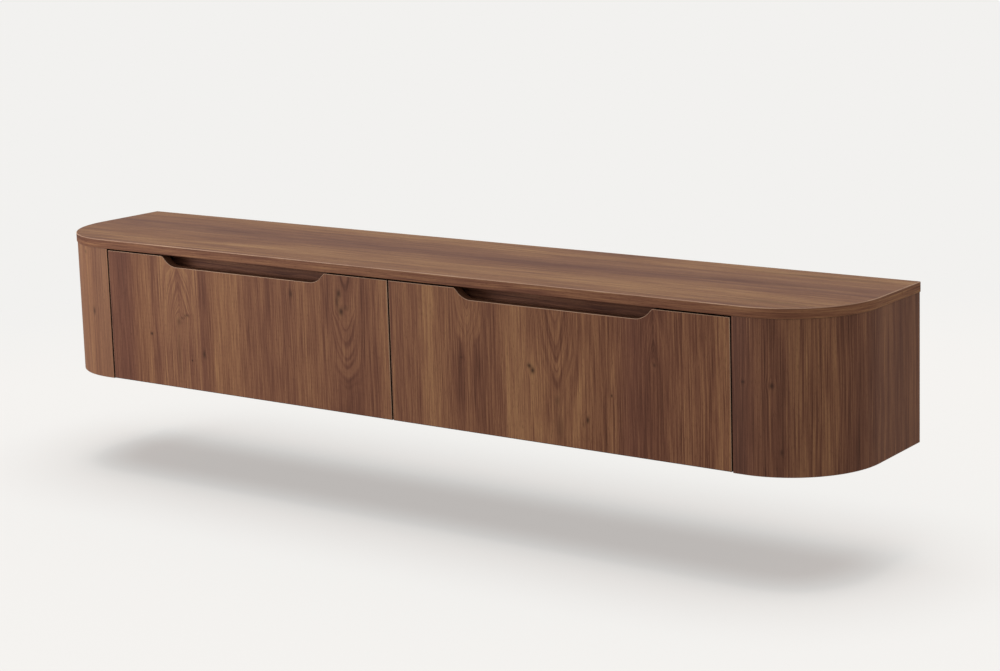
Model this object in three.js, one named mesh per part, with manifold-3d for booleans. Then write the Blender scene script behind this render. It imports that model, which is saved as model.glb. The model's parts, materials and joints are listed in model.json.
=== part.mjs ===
// Floating media console: a wall-hung walnut cabinet with bent ends and two drop-down flaps.
// Lengths are in millimetres. X runs along the wall to the right, Y into the wall and Z up.
// Everything inside the cabinet group is measured from the wall and from the underside.
// That group is then lowered, so the origin is the middle of the wall rail's rear face.

import * as THREE from 'three';
import { mergeVertices } from 'three/addons/utils/BufferGeometryUtils.js';
import Module from 'manifold-3d';

const wasm = await Module();
wasm.setup();

// Whole cabinet
const overallWidth = 1800;
const overallDepth = 320;
const overallHeight = 280;
const topThickness = 18;
const topCornerRadius = 166;
const topOverhang = 1.5;

// Panels of the case
const casingThickness = 18;
const casingLip = 18.5;
const partitionThickness = 18;
const dividerThickness = 18;
const bottomThickness = 18;
const bottomRecess = 10;
const backThickness = 8;
const backRecess = 16;
const glueGap = 0.3;

// Flaps and the gaps round them
const flapThickness = 18;
const flapTopGap = 3;
const flapSideGap = 3;
const flapCentreGap = 3.5;
const flapBottomGap = 1;
const flapBackGap = 2;
const notchWidth = 413;
const notchDepth = 19.5;
const notchSlope = Math.PI / 4;
const notchFootRadius = 40;
const notchBrowRadius = 8;

// Finger rails behind the notches
const fingerSpace = 20.5;
const fingerRailThickness = 16;
const fingerRailHeight = 50;

// Butt hinges under the front edge of the bottom panel
const hingeLength = 50;
const hingeEndDistance = 90;
const leafThickness = 1.5;
const leafWidth = 34;
const flapLeafHeight = 44;
const knuckleRadius = 2.5;
const knuckleCount = 5;
const knuckleGap = 0.4;
const hingePinRadius = 1.3;
const hingePinGap = 0.1;
const hingePinHead = 1;

// Brake stays: an arm on the flap slides through a block that swivels on the partition
const stayBlockAngle = Math.PI / 3;
const flapOpening = Math.PI / 2;
const stayFootReach = 10;
const stayArmWidth = 14;
const stayArmThickness = 3;
const stayArmTail = 8;
const stayArmInset = 11;
const stayBackGap = 8;
const stayStopRadius = 3.5;
const stayStopLength = 9;
const stayBlockLength = 26;
const stayBlockHeight = 24;
const stayBlockWidth = 14;
const stayPlateThickness = 2.5;
const stayPlateWidth = 26;
const stayPlateHeight = 56;
const stayNeckRadius = 3.5;
const stayNeckLength = 2.2;
const stayHeadRadius = 5.5;
const stayHeadLength = 2;
const stayFootThickness = 2;
const stayFootWidth = 26;
const stayFootHeight = 34;
const stayRivetRadius = 3;
const stayRivetHeadRadius = 5;
const stayRivetHeadLength = 1.5;
const stayGap = 0.4;
const staySideGap = 0.6;

// Magnetic catches on the centre divider
const catchDrop = 6;
const catchHeight = 30;
const catchWidth = 14;
const catchLength = 34;
const catchPoleProud = 1;
const magnetHeight = 20;
const magnetWidth = 6;
const magnetLength = 12;
const magnetGap = 0.3;
const strikeThickness = 1.5;
const strikeWidth = 24;
const strikeHeight = 34;

// Cable outlets in the back panel
const outletPlace = 360;
const outletHeight = 120;
const outletRadius = 30;
const grommetWall = 3.5;
const grommetFlange = 8;
const grommetFlangeThickness = 2;
const grommetGap = 0.3;

// Wall rail and the hangers that hook over it
const railDrop = 50;
const railEndReach = 20;
const railPlateHeight = 28;
const railThickness = 2;
const railStandoff = 7;
const railLipHeight = 12;
const railHoleRadius = 3.5;
const railHoleEdge = 70.5;
const railHoleCount = 8;
const hangerWidth = 15;
const hangerDepth = 45;
const hangerHeight = 62;
const hangerTopGap = 2;
const hookThickness = 3;
const hookHeight = 12;
const hookFingerGap = 2;
const hookReach = 30;
const hookGap = 0.4;
const hookPlayUp = 8;
const adjusterRadius = 3.5;
const adjusterLength = 10;
const adjusterSlot = 1.2;

// Screw holes in the fittings, and the screws that hold the bottom panel to the uprights
const screwHoleRadius = 1.9;
const screwSeatRadius = 3.4;
const screwEdge = 9;
const caseScrewHeadRadius = 5;
const caseScrewHeadDepth = 3;
const caseScrewRadius = 2.5;
const caseScrewLength = 45;
const caseScrewGap = 0.3;
const caseScrewEdge = 40;
const overrun = 1;

// Facets
const arcSteps = 12;
const smallSides = 8;
const knuckleSides = 12;
const outletSides = 24;
const socketSides = 6;

// Planes and places that follow from the sizes above
const caseHalfWidth = overallWidth / 2 - topOverhang;
const caseFront = topOverhang - overallDepth;
const caseHeight = overallHeight - topThickness;
const casingRadius = topCornerRadius - topOverhang;
const casingInnerRadius = casingRadius - casingThickness;
const openingHalfWidth = caseHalfWidth - casingRadius - casingLip;
const flapFront = caseFront;
const flapBack = flapFront + flapThickness;
const flapLow = flapBottomGap;
const flapHigh = caseHeight - flapTopGap;
const flapInner = flapCentreGap / 2;
const flapOuter = openingHalfWidth - flapSideGap;
const panelFront = flapBack + flapBackGap;
const bottomLow = bottomRecess;
const bottomHigh = bottomRecess + bottomThickness;
const backRear = -backRecess;
const backFront = backRear - backThickness;
const dividerHalf = dividerThickness / 2;
const fingerRailFront = flapBack + fingerSpace;
const fingerRailLow = caseHeight - fingerRailHeight;
const railCentre = caseHeight - railDrop;

// Surfaces
const walnut = { color: 0x7a5542, roughness: 0.5, metalness: 0 };
const walnutTop = { color: 0x8c6a56, roughness: 0.42, metalness: 0 };
const darkWalnut = { color: 0x4a3428, roughness: 0.55, metalness: 0 };
const zincSteel = { color: 0xb4b6b8, roughness: 0.35, metalness: 1 };
const blackPlastic = { color: 0x1c1c1d, roughness: 0.5, metalness: 0 };
const greyPlastic = { color: 0xa6a7a8, roughness: 0.5, metalness: 0 };
const darkMagnet = { color: 0x55565a, roughness: 0.4, metalness: 1 };

// Turns a closed geometry into a solid that can be cut and joined.
function solidOf(geometry) {
  const bare = geometry.clone();
  bare.deleteAttribute('normal');
  bare.deleteAttribute('uv');
  const merged = mergeVertices(bare);
  return new wasm.Manifold(new wasm.Mesh({
    numProp: 3,
    vertProperties: new Float32Array(merged.getAttribute('position').array),
    triVerts: new Uint32Array(merged.getIndex().array),
  }));
}

// Turns a solid back into a geometry.
function geometryOf(solid) {
  const mesh = solid.getMesh();
  const geometry = new THREE.BufferGeometry();
  geometry.setAttribute('position', new THREE.BufferAttribute(new Float32Array(mesh.vertProperties), 3));
  geometry.setIndex(new THREE.BufferAttribute(new Uint32Array(mesh.triVerts), 1));
  return geometry;
}

// Takes every tool away from a geometry.
function cut(geometry, ...tools) {
  return geometryOf(tools.reduce((left, tool) => left.subtract(solidOf(tool)), solidOf(geometry)));
}

// Joins geometries that reach into each other.
function join(geometry, ...others) {
  return geometryOf(others.reduce((whole, other) => whole.add(solidOf(other)), solidOf(geometry)));
}

// Extrudes an outline between two planes across an axis.
// The outline is drawn in Y and Z across X, in X and Z across Y, and in X and Y across Z.
function prism(axis, shape, low, high) {
  const options = { depth: 1, bevelEnabled: false, curveSegments: arcSteps };
  const geometry = new THREE.ExtrudeGeometry(shape, options);
  const position = geometry.getAttribute('position');
  for (let i = 0; i < position.count; i++) {
    const first = position.getX(i);
    const second = position.getY(i);
    const far = position.getZ(i) > 0;
    if (axis === 'x') position.setXYZ(i, far ? high : low, first, second);
    if (axis === 'y') position.setXYZ(i, first, far ? low : high, second);
    if (axis === 'z') position.setXYZ(i, first, second, far ? high : low);
  }
  return geometry;
}

// A closed outline through points.
function outline(points) {
  return new THREE.Shape(points.map(([first, second]) => new THREE.Vector2(first, second)));
}

// A box between two corners.
function slab([x0, x1], [y0, y1], [z0, z1]) {
  return prism('z', outline([[x0, y0], [x1, y0], [x1, y1], [x0, y1]]), z0, z1);
}

// A round bar along an axis through a point, between two planes.
function bar(axis, [first, second], radius, low, high, sides = smallSides) {
  const corners = Array.from({ length: sides }, (_, i) => {
    const angle = (i + 0.5) * 2 * Math.PI / sides;
    return [first + radius * Math.cos(angle), second + radius * Math.sin(angle)];
  });
  return prism(axis, outline(corners), low, high);
}

// Mirrors a geometry left for right and keeps its faces pointing out.
function mirrored(geometry) {
  const flat = geometry.index ? geometry.toNonIndexed() : geometry.clone();
  const position = flat.getAttribute('position');
  for (let i = 0; i < position.count; i += 3) {
    const corners = [0, 2, 1].map((k) => new THREE.Vector3().fromBufferAttribute(position, i + k));
    corners.forEach((corner, k) => position.setXYZ(i + k, -corner.x, corner.y, corner.z));
  }
  return flat;
}

// Names a geometry, gives it a surface and puts it in a group.
function place(group, name, geometry, surface) {
  const flat = geometry.index ? geometry.toNonIndexed() : geometry.clone();
  flat.deleteAttribute('uv');
  flat.computeVertexNormals();
  const mesh = new THREE.Mesh(flat, new THREE.MeshStandardMaterial(surface));
  mesh.name = name;
  group.add(mesh);
  return mesh;
}

// Places a right-hand piece and its mirror image on the left.
function placePair(group, name, geometry, surface) {
  place(group, `right_${name}`, geometry, surface);
  place(group, `left_${name}`, mirrored(geometry), surface);
}

// Countersunk screw hole along an axis, from a plate's open face to its far face.
function screwHole(axis, at, open, far) {
  const seat = (open + far) / 2;
  const way = Math.sign(open - far) * overrun;
  const span = (from, to) => [Math.min(from, to), Math.max(from, to)];
  return join(
    bar(axis, at, screwSeatRadius, ...span(seat, open + way)),
    bar(axis, at, screwHoleRadius, ...span(far - way, seat + way / 2)),
  );
}

// Panel outline with two round front corners, from a rear line to a front line.
function roundedOutline(halfWidth, rear, front, radius) {
  const shape = new THREE.Shape();
  shape.moveTo(-halfWidth, rear);
  shape.lineTo(-halfWidth, front + radius);
  shape.absarc(radius - halfWidth, front + radius, radius, Math.PI, 1.5 * Math.PI, false);
  shape.lineTo(halfWidth - radius, front);
  shape.absarc(halfWidth - radius, front + radius, radius, 1.5 * Math.PI, 2 * Math.PI, false);
  shape.lineTo(halfWidth, rear);
  shape.closePath();
  return shape;
}

const cabinet = new THREE.Group();

// Case screws rise through the bottom panel into each upright, near its front and its rear
const uprights = [['left', -1], ['middle', 0], ['right', 1]].map(([word, side]) => (
  [word, side * (openingHalfWidth + partitionThickness / 2)]
));
const screwDepths = [['front', panelFront + caseScrewEdge], ['rear', backFront - caseScrewEdge]];
const screwTop = bottomLow + caseScrewLength;
const screwShoulder = bottomLow + caseScrewHeadDepth;
const socketFloor = bottomLow + caseScrewHeadDepth / 2;
const caseScrewHoles = [];
uprights.forEach(([upright, x]) => screwDepths.forEach(([end, y]) => {
  const screw = join(
    bar('z', [x, y], caseScrewHeadRadius, bottomLow, screwShoulder),
    bar('z', [x, y], caseScrewRadius, socketFloor, screwTop),
  );
  const socket = bar('z', [x, y], caseScrewRadius, bottomLow - overrun, socketFloor, socketSides);
  place(cabinet, `case_screw_${upright}_${end}`, cut(screw, socket), zincSteel);
  caseScrewHoles.push(join(
    bar('z', [x, y], caseScrewHeadRadius + caseScrewGap, bottomLow - overrun, screwShoulder + caseScrewGap),
    bar('z', [x, y], caseScrewRadius + caseScrewGap, bottomLow, screwTop + caseScrewGap),
  ));
}));

// Hinges: a carcass leaf under the bottom panel, a flap leaf up the flap and a pin
const hingeY = flapBack + knuckleRadius + glueGap;
const hingeZ = bottomLow - knuckleRadius - glueGap;
const hingePlaces = [flapInner + hingeEndDistance, flapOuter - hingeEndDistance];
const knuckleLength = (hingeLength - (knuckleCount - 1) * knuckleGap) / knuckleCount;
const knuckleStart = (i) => i * (knuckleLength + knuckleGap) - hingeLength / 2;
const bottomOfLeaf = bottomLow - hingeZ - leafThickness;
const leafReach = knuckleRadius + knuckleGap;

// Knuckles of one leaf, numbered from first in steps of two.
function knuckles(first) {
  const starts = [];
  for (let i = first; i < knuckleCount; i += 2) starts.push(knuckleStart(i));
  return starts;
}

// Leaf in the hinge's own frame: its plate, a tongue to each of its knuckles, and the pin's bore.
function hingeLeaf(plate, tongue, first, screwPlaces) {
  const starts = knuckles(first);
  const tongues = starts.map((x) => tongue(x, x + knuckleLength));
  const rounds = starts.map((x) => bar('x', [0, 0], knuckleRadius, x, x + knuckleLength, knuckleSides));
  const bore = bar('x', [0, 0], hingePinRadius + hingePinGap, -hingeLength, hingeLength, knuckleSides);
  return cut(join(plate, ...tongues, ...rounds), bore, ...screwPlaces);
}

const leafScrewX = hingeLength / 2 - screwEdge;
const carcassScrewY = leafWidth - screwEdge;
const flapScrewZ = flapLeafHeight - screwEdge;
const topOfLeaf = bottomLow - hingeZ;
const carcassLeafHoles = [-leafScrewX, leafScrewX].map((x) => (
  screwHole('z', [x, carcassScrewY], bottomOfLeaf, topOfLeaf)
));
const flapLeafBack = flapBack - hingeY;
const flapLeafFace = flapLeafBack + leafThickness;
const flapLeafHoles = [-leafScrewX, leafScrewX].map((x) => (
  screwHole('y', [x, flapScrewZ], flapLeafFace, flapLeafBack)
));
const carcassLeaf = hingeLeaf(
  slab([-hingeLength / 2, hingeLength / 2], [leafReach, leafWidth], [bottomOfLeaf, topOfLeaf]),
  (x0, x1) => slab([x0, x1], [0, leafWidth / 2], [bottomOfLeaf, topOfLeaf - glueGap]),
  0,
  carcassLeafHoles,
);
const flapLeaf = hingeLeaf(
  slab([-hingeLength / 2, hingeLength / 2], [flapLeafBack, flapLeafFace], [leafReach, flapLeafHeight]),
  (x0, x1) => slab([x0, x1], [flapLeafBack + glueGap, flapLeafFace], [0, flapLeafHeight / 2]),
  1,
  flapLeafHoles,
);
const pinEnd = hingeLength / 2 + hingePinHead;
const hingePin = join(
  bar('x', [0, 0], hingePinRadius, -pinEnd, pinEnd, knuckleSides),
  bar('x', [0, 0], knuckleRadius - hingePinGap, hingeLength / 2 + hingePinGap, pinEnd),
);

hingePlaces.forEach((x, i) => {
  [[1, 'right'], [-1, 'left']].forEach(([side, word]) => {
    const hinge = new THREE.Group();
    hinge.position.set(side * x, hingeY, hingeZ);
    cabinet.add(hinge);
    const turn = (geometry) => (side > 0 ? geometry : mirrored(geometry));
    place(hinge, `${word}_hinge_${i + 1}_carcass_leaf`, turn(carcassLeaf), zincSteel);
    place(hinge, `${word}_hinge_${i + 1}_flap_leaf`, turn(flapLeaf), zincSteel);
    place(hinge, `${word}_hinge_${i + 1}_pin`, turn(hingePin), zincSteel);
  });
});

// Brake stays. Pivot and block lie at the same distance from the hinge axis,
// so the arm turns by half the flap's angle and always points through the block's swivel.
// That distance is the largest that keeps the arm of a shut flap clear of the back panel.
const pivotY = flapBack + stayFootReach;
const stayPivotDepth = pivotY - hingeY;
const stopReach = stayBlockLength / 2 + stayStopRadius + stayGap;
const armRoom = (backFront - stayBackGap - pivotY) / Math.sin(Math.PI / 4 + stayBlockAngle / 2);
const stayTurn = (Math.PI / 2 - stayBlockAngle + flapOpening) / 2;
const stayRadius = (armRoom - stopReach - stayArmTail) / (2 * Math.sin(stayTurn));
const stayPivotAngle = Math.acos(stayPivotDepth / stayRadius);
const pivotZ = hingeZ + stayRadius * Math.sin(stayPivotAngle);
const swivelY = hingeY + stayRadius * Math.cos(stayBlockAngle);
const swivelZ = hingeZ + stayRadius * Math.sin(stayBlockAngle);
const armAngle = Math.atan2(swivelZ - pivotZ, swivelY - pivotY);
const openChord = 2 * stayRadius * Math.sin((stayPivotAngle - stayBlockAngle + flapOpening) / 2);
const stopPlace = openChord + stopReach;
const armX = openingHalfWidth - stayArmInset;
const armHalf = stayArmThickness / 2;
const armHalfWidth = stayArmWidth / 2;
const armEnd = stopPlace + stayArmTail - armHalfWidth;

const armOutline = new THREE.Shape();
armOutline.absarc(0, 0, armHalfWidth, Math.PI / 2, 1.5 * Math.PI, false);
armOutline.lineTo(armEnd, -armHalfWidth);
armOutline.absarc(armEnd, 0, armHalfWidth, -Math.PI / 2, Math.PI / 2, false);
armOutline.closePath();
const stayArm = join(
  cut(
    prism('x', armOutline, -armHalf, armHalf),
    bar('x', [0, 0], stayRivetRadius + stayGap, -stayArmWidth, stayArmWidth, knuckleSides),
  ),
  bar('x', [stopPlace, 0], stayStopRadius, -stayStopLength / 2, stayStopLength / 2),
);

// Swivel block in its own frame, with its tunnel along Y and its socket on the partition's side.
const plateInner = openingHalfWidth - stayPlateThickness - armX;
const blockOuter = plateInner - staySideGap;
const blockInner = blockOuter - stayBlockWidth;
const tunnelHalf = armHalf + stayGap;
const tunnelHalfHeight = armHalfWidth + stayGap;
const neckEnd = plateInner - stayNeckLength;
const headEnd = neckEnd - stayHeadLength;
const stayBlock = cut(
  slab(
    [blockInner, blockOuter],
    [-stayBlockLength / 2, stayBlockLength / 2],
    [-stayBlockHeight / 2, stayBlockHeight / 2],
  ),
  slab([-tunnelHalf, tunnelHalf], [-stayBlockLength, stayBlockLength], [-tunnelHalfHeight, tunnelHalfHeight]),
  bar('x', [0, 0], stayNeckRadius + stayGap, neckEnd - stayGap, plateInner, knuckleSides),
  bar('x', [0, 0], stayHeadRadius + stayGap, headEnd - stayGap, neckEnd + stayGap, knuckleSides),
);

['right', 'left'].forEach((word, i) => {
  const side = 1 - 2 * i;
  const turn = (geometry) => (side > 0 ? geometry : mirrored(geometry));
  const arm = new THREE.Group();
  arm.position.set(side * armX, pivotY, pivotZ);
  arm.rotation.x = armAngle;
  const block = new THREE.Group();
  block.position.set(side * armX, swivelY, swivelZ);
  block.rotation.x = armAngle;
  cabinet.add(arm, block);
  place(arm, `${word}_stay_arm`, turn(stayArm), zincSteel);
  place(block, `${word}_stay_swivel_block`, turn(stayBlock), blackPlastic);
});

const stayPlateFace = armX + plateInner;
const swivelAt = [swivelY, swivelZ];
const stayScrewZ = [-1, 1].map((way) => swivelZ + way * (stayPlateHeight / 2 - screwEdge));
const stayPlateMiddle = openingHalfWidth - stayPlateThickness / 2;
const stayPlate = cut(
  join(
    slab(
      [stayPlateFace, openingHalfWidth],
      [swivelY - stayPlateWidth / 2, swivelY + stayPlateWidth / 2],
      [swivelZ - stayPlateHeight / 2, swivelZ + stayPlateHeight / 2],
    ),
    bar('x', swivelAt, stayNeckRadius, armX + headEnd, stayPlateMiddle, knuckleSides),
    bar('x', swivelAt, stayHeadRadius, armX + headEnd, armX + neckEnd, knuckleSides),
  ),
  ...stayScrewZ.map((z) => screwHole('x', [swivelY, z], stayPlateFace, openingHalfWidth)),
);
placePair(cabinet, 'stay_plate', stayPlate, zincSteel);

// Foot of the stay: a plate on the flap, an ear and the rivet that the arm turns on.
const earInner = armX + armHalf + staySideGap;
const earOuter = earInner + stayPlateThickness;
const rivetEnd = armX - armHalf - stayGap - stayRivetHeadLength;
const footHigh = pivotZ + stayFootHeight / 2;
const footLow = pivotZ - stayFootHeight / 2;
const footFace = flapBack + stayFootThickness;
const pivotAt = [pivotY, pivotZ];
const footScrewX = earOuter - stayFootWidth + screwEdge;
const footScrewZ = [footLow + screwEdge, footHigh - screwEdge];
const earOutline = new THREE.Shape();
earOutline.moveTo(flapBack, pivotZ - armHalfWidth);
earOutline.lineTo(pivotY, pivotZ - armHalfWidth);
earOutline.absarc(pivotY, pivotZ, armHalfWidth, -Math.PI / 2, Math.PI / 2, false);
earOutline.lineTo(flapBack, pivotZ + armHalfWidth);
earOutline.closePath();
const stayFoot = cut(
  join(
    slab([earOuter - stayFootWidth, earOuter], [flapBack, footFace], [footLow, footHigh]),
    prism('x', earOutline, earInner, earOuter),
    bar('x', pivotAt, stayRivetRadius, rivetEnd, earOuter - stayPlateThickness / 2, knuckleSides),
    bar('x', pivotAt, stayRivetHeadRadius, rivetEnd, rivetEnd + stayRivetHeadLength, knuckleSides),
  ),
  ...footScrewZ.map((z) => screwHole('y', [footScrewX, z], footFace, flapBack)),
);
placePair(cabinet, 'stay_foot', stayFoot, zincSteel);

// Magnetic catches: a housing on the divider, its magnet, and a strike plate on the flap
const strikeFace = flapBack + strikeThickness;
const magnetFace = strikeFace + magnetGap;
const catchFront = magnetFace + catchPoleProud;
const catchHigh = fingerRailLow - catchDrop;
const catchLow = catchHigh - catchHeight;
const catchMiddle = (catchHigh + catchLow) / 2;
const magnetX = dividerHalf + catchWidth / 2;
const magnetSpan = [magnetX - magnetWidth / 2, magnetX + magnetWidth / 2];
const catchScrewY = catchFront + catchLength - screwEdge;
const catchFace = dividerHalf + catchWidth / 2;
const catchScrewZ = [catchLow + screwEdge, catchHigh - screwEdge];
const catchNotch = slab(
  [catchFace, dividerHalf + catchWidth + overrun],
  [catchFront + catchLength - 2 * screwEdge, catchFront + catchLength + overrun],
  [catchLow - overrun, catchHigh + overrun],
);
const magnetPocket = slab(
  [magnetSpan[0] - magnetGap, magnetSpan[1] + magnetGap],
  [catchFront - overrun, catchFront + magnetLength + magnetGap],
  [catchMiddle - magnetHeight / 2 - magnetGap, catchMiddle + magnetHeight / 2 + magnetGap],
);
const catchHousing = cut(
  slab(
    [dividerHalf, dividerHalf + catchWidth],
    [catchFront, catchFront + catchLength],
    [catchLow, catchHigh],
  ),
  catchNotch,
  magnetPocket,
  ...catchScrewZ.map((z) => screwHole('x', [catchScrewY, z], catchFace, dividerHalf)),
);
const magnet = slab(
  magnetSpan,
  [magnetFace, catchFront + magnetLength],
  [catchMiddle - magnetHeight / 2, catchMiddle + magnetHeight / 2],
);
const strikeX = magnetX + strikeWidth / 2 - magnetWidth;
const strikeScrewRise = (strikeHeight - screwEdge) / 2;
const strikeScrewZ = [catchMiddle - strikeScrewRise, catchMiddle + strikeScrewRise];
const strikeScrewX = strikeX + screwEdge / 2;
const strikePlate = cut(
  slab(
    [strikeX - strikeWidth / 2, strikeX + strikeWidth / 2],
    [flapBack, strikeFace],
    [catchMiddle - strikeHeight / 2, catchMiddle + strikeHeight / 2],
  ),
  ...strikeScrewZ.map((z) => screwHole('y', [strikeScrewX, z], strikeFace, flapBack)),
);
placePair(cabinet, 'catch_housing', catchHousing, blackPlastic);
placePair(cabinet, 'catch_magnet', magnet, darkMagnet);
placePair(cabinet, 'strike_plate', strikePlate, zincSteel);

// Flap with a finger notch in its top edge
function flapOutline() {
  const middle = (flapInner + flapOuter) / 2;
  const slopeRun = notchDepth / Math.tan(notchSlope);
  const brow = notchBrowRadius * Math.tan(notchSlope / 2);
  const foot = notchFootRadius * Math.tan(notchSlope / 2);
  const corner = notchWidth / 2;
  const footCentre = corner - slopeRun - foot;
  const floor = flapHigh - notchDepth;
  const quarter = Math.PI / 2;
  const shape = new THREE.Shape();
  shape.moveTo(flapInner, flapLow);
  shape.lineTo(flapOuter, flapLow);
  shape.lineTo(flapOuter, flapHigh);
  const browHeight = flapHigh - notchBrowRadius;
  const footHeight = floor + notchFootRadius;
  shape.absarc(middle + corner + brow, browHeight, notchBrowRadius, quarter, quarter + notchSlope, false);
  shape.absarc(middle + footCentre, footHeight, notchFootRadius, notchSlope - quarter, -quarter, true);
  shape.absarc(middle - footCentre, footHeight, notchFootRadius, -quarter, -quarter - notchSlope, true);
  shape.absarc(middle - corner - brow, browHeight, notchBrowRadius, quarter - notchSlope, quarter, false);
  shape.lineTo(flapInner, flapHigh);
  shape.closePath();
  return shape;
}
placePair(cabinet, 'flap', prism('y', flapOutline(), flapFront, flapBack), walnut);

// Hangers at both ends of each compartment, their hooks and adjusting screws
const hangerHigh = caseHeight - hangerTopGap;
const hangerLow = hangerHigh - hangerHeight;
const hangerFront = backFront - hangerDepth;
const railLipTop = railCentre + railPlateHeight / 2 + railLipHeight;
const hookLow = railLipTop + hookGap;
const hookFingerLow = railCentre + railPlateHeight / 2 + hookFingerGap;
const hookHigh = hookLow + hookHeight;
const fingerRear = -railThickness - hookGap;
const fingerFront = hookGap - railStandoff;
const hookOutline = outline([
  [backFront - hookReach, hookLow],
  [fingerFront, hookLow],
  [fingerFront, hookFingerLow],
  [fingerRear, hookFingerLow],
  [fingerRear, hookHigh],
  [backFront - hookReach, hookHigh],
]);
const hangerPlaces = [dividerHalf, openingHalfWidth - hangerWidth];
const hangerParts = hangerPlaces.map((x) => {
  const middle = x + hangerWidth / 2;
  const hookSides = [middle - hookThickness / 2, middle + hookThickness / 2];
  const slotSides = [hookSides[0] - hookGap, hookSides[1] + hookGap];
  const slotRise = [hookFingerLow - hookGap, hookHigh + hookPlayUp];
  const adjusterFace = hangerFront + adjusterLength;
  const adjusterAt = [middle, railCentre];
  const pocket = slab(slotSides, [backFront - hookReach - hookGap, backFront + overrun], slotRise);
  const well = bar('y', adjusterAt, adjusterRadius + hookGap, hangerFront - overrun, adjusterFace + hookGap);
  return {
    housing: cut(slab([x, x + hangerWidth], [hangerFront, backFront], [hangerLow, hangerHigh]), pocket, well),
    hook: prism('x', hookOutline, ...hookSides),
    slot: slab(slotSides, [backFront - overrun, backRear + overrun], slotRise),
    adjuster: cut(
      bar('y', adjusterAt, adjusterRadius, hangerFront + adjusterSlot, adjusterFace),
      slab(
        [middle - adjusterRadius, middle + adjusterRadius],
        [hangerFront - overrun, hangerFront + 2 * adjusterSlot],
        [railCentre - adjusterSlot / 2, railCentre + adjusterSlot / 2],
      ),
    ),
  };
});
hangerParts.forEach(({ housing, hook, adjuster }, i) => {
  placePair(cabinet, `hanger_${i + 1}_housing`, housing, greyPlastic);
  placePair(cabinet, `hanger_${i + 1}_hook`, hook, zincSteel);
  placePair(cabinet, `hanger_${i + 1}_adjusting_screw`, adjuster, zincSteel);
});

// Wall rail: a plate on the wall whose top edge steps out and up into a lip
const railHalf = railPlateHeight / 2;
const railOutline = outline([
  [0, railCentre - railHalf],
  [0, railCentre + railHalf],
  [-railStandoff, railCentre + railHalf],
  [-railStandoff, railLipTop],
  [-railStandoff - railThickness, railLipTop],
  [-railStandoff - railThickness, railCentre + railHalf - railThickness],
  [-railThickness, railCentre + railHalf - railThickness],
  [-railThickness, railCentre - railHalf],
]);
const railEnd = openingHalfWidth + railEndReach;
const lastHole = railEnd - railHoleEdge;
const railHoles = Array.from({ length: railHoleCount }, (_, i) => bar(
  'y',
  [(2 * i / (railHoleCount - 1) - 1) * lastHole, railCentre],
  railHoleRadius,
  -railThickness - overrun,
  overrun,
));
place(cabinet, 'wall_rail', cut(prism('x', railOutline, -railEnd, railEnd), ...railHoles), zincSteel);

// Back panel with its hook slots and cable outlets, and a grommet in each outlet
const outletY = [backFront - overrun, backRear + overrun];
const outletAt = [outletPlace, outletHeight];
const outletHole = bar('y', outletAt, outletRadius + grommetWall + grommetGap, ...outletY, outletSides);
const backCuts = [...hangerParts.map((part) => part.slot), outletHole];
const backHalf = caseHalfWidth - casingThickness - glueGap;
place(cabinet, 'back_panel', cut(
  slab([-backHalf, backHalf], [backFront, backRear], [bottomHigh, caseHeight]),
  ...backCuts,
  ...backCuts.map(mirrored),
), darkWalnut);
const flangeFront = backFront - grommetFlangeThickness;
const grommet = cut(
  join(
    bar('y', outletAt, outletRadius + grommetWall, flangeFront, backRear, outletSides),
    bar('y', outletAt, outletRadius + grommetFlange, flangeFront, backFront, outletSides),
  ),
  bar('y', outletAt, outletRadius, flangeFront - overrun, backRear + overrun, outletSides),
);
placePair(cabinet, 'cable_grommet', grommet, blackPlastic);

// Top panel
place(cabinet, 'top_panel', prism(
  'z',
  roundedOutline(overallWidth / 2, 0, -overallDepth, topCornerRadius),
  caseHeight,
  overallHeight,
), walnutTop);

// Bottom panel: its ends fill the casings and its middle stands back behind the flaps
function bottomPanel() {
  const whole = prism('z', roundedOutline(
    caseHalfWidth - casingThickness - glueGap,
    backRear,
    flapBack + glueGap,
    casingInnerRadius - glueGap,
  ), bottomLow, bottomHigh);
  const setBack = slab(
    [-openingHalfWidth, openingHalfWidth],
    [flapBack - overrun, panelFront],
    [bottomLow - overrun, bottomHigh + overrun],
  );
  return cut(whole, setBack, ...caseScrewHoles);
}
place(cabinet, 'bottom_panel', bottomPanel(), darkWalnut);

// Bent end casing: the cabinet's side, round corner and front lip in one shell
const casingOutline = new THREE.Shape();
const bendX = caseHalfWidth - casingRadius;
const bendY = caseFront + casingRadius;
casingOutline.moveTo(caseHalfWidth, 0);
casingOutline.lineTo(caseHalfWidth - casingThickness, 0);
casingOutline.absarc(bendX, bendY, casingInnerRadius, 0, -Math.PI / 2, true);
casingOutline.lineTo(openingHalfWidth, caseFront + casingThickness);
casingOutline.lineTo(openingHalfWidth, caseFront);
casingOutline.absarc(bendX, bendY, casingRadius, -Math.PI / 2, 0, false);
casingOutline.closePath();
placePair(cabinet, 'end_casing', prism('z', casingOutline, 0, caseHeight), walnut);

// Partitions, divider and finger rails
const partition = cut(
  slab(
    [openingHalfWidth, openingHalfWidth + partitionThickness],
    [caseFront + casingThickness, backFront],
    [bottomHigh, caseHeight],
  ),
  ...caseScrewHoles,
);
placePair(cabinet, 'partition', partition, darkWalnut);
place(cabinet, 'centre_divider', cut(
  slab([-dividerHalf, dividerHalf], [panelFront, backFront], [bottomHigh, caseHeight]),
  ...caseScrewHoles,
), darkWalnut);
placePair(cabinet, 'finger_rail', slab(
  [dividerHalf, openingHalfWidth],
  [fingerRailFront, fingerRailFront + fingerRailThickness],
  [fingerRailLow, caseHeight],
), darkWalnut);

cabinet.position.z = -railCentre;

const mediaConsole = new THREE.Group();
mediaConsole.name = 'floating_media_console';
mediaConsole.add(cabinet);

export default mediaConsole;
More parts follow.
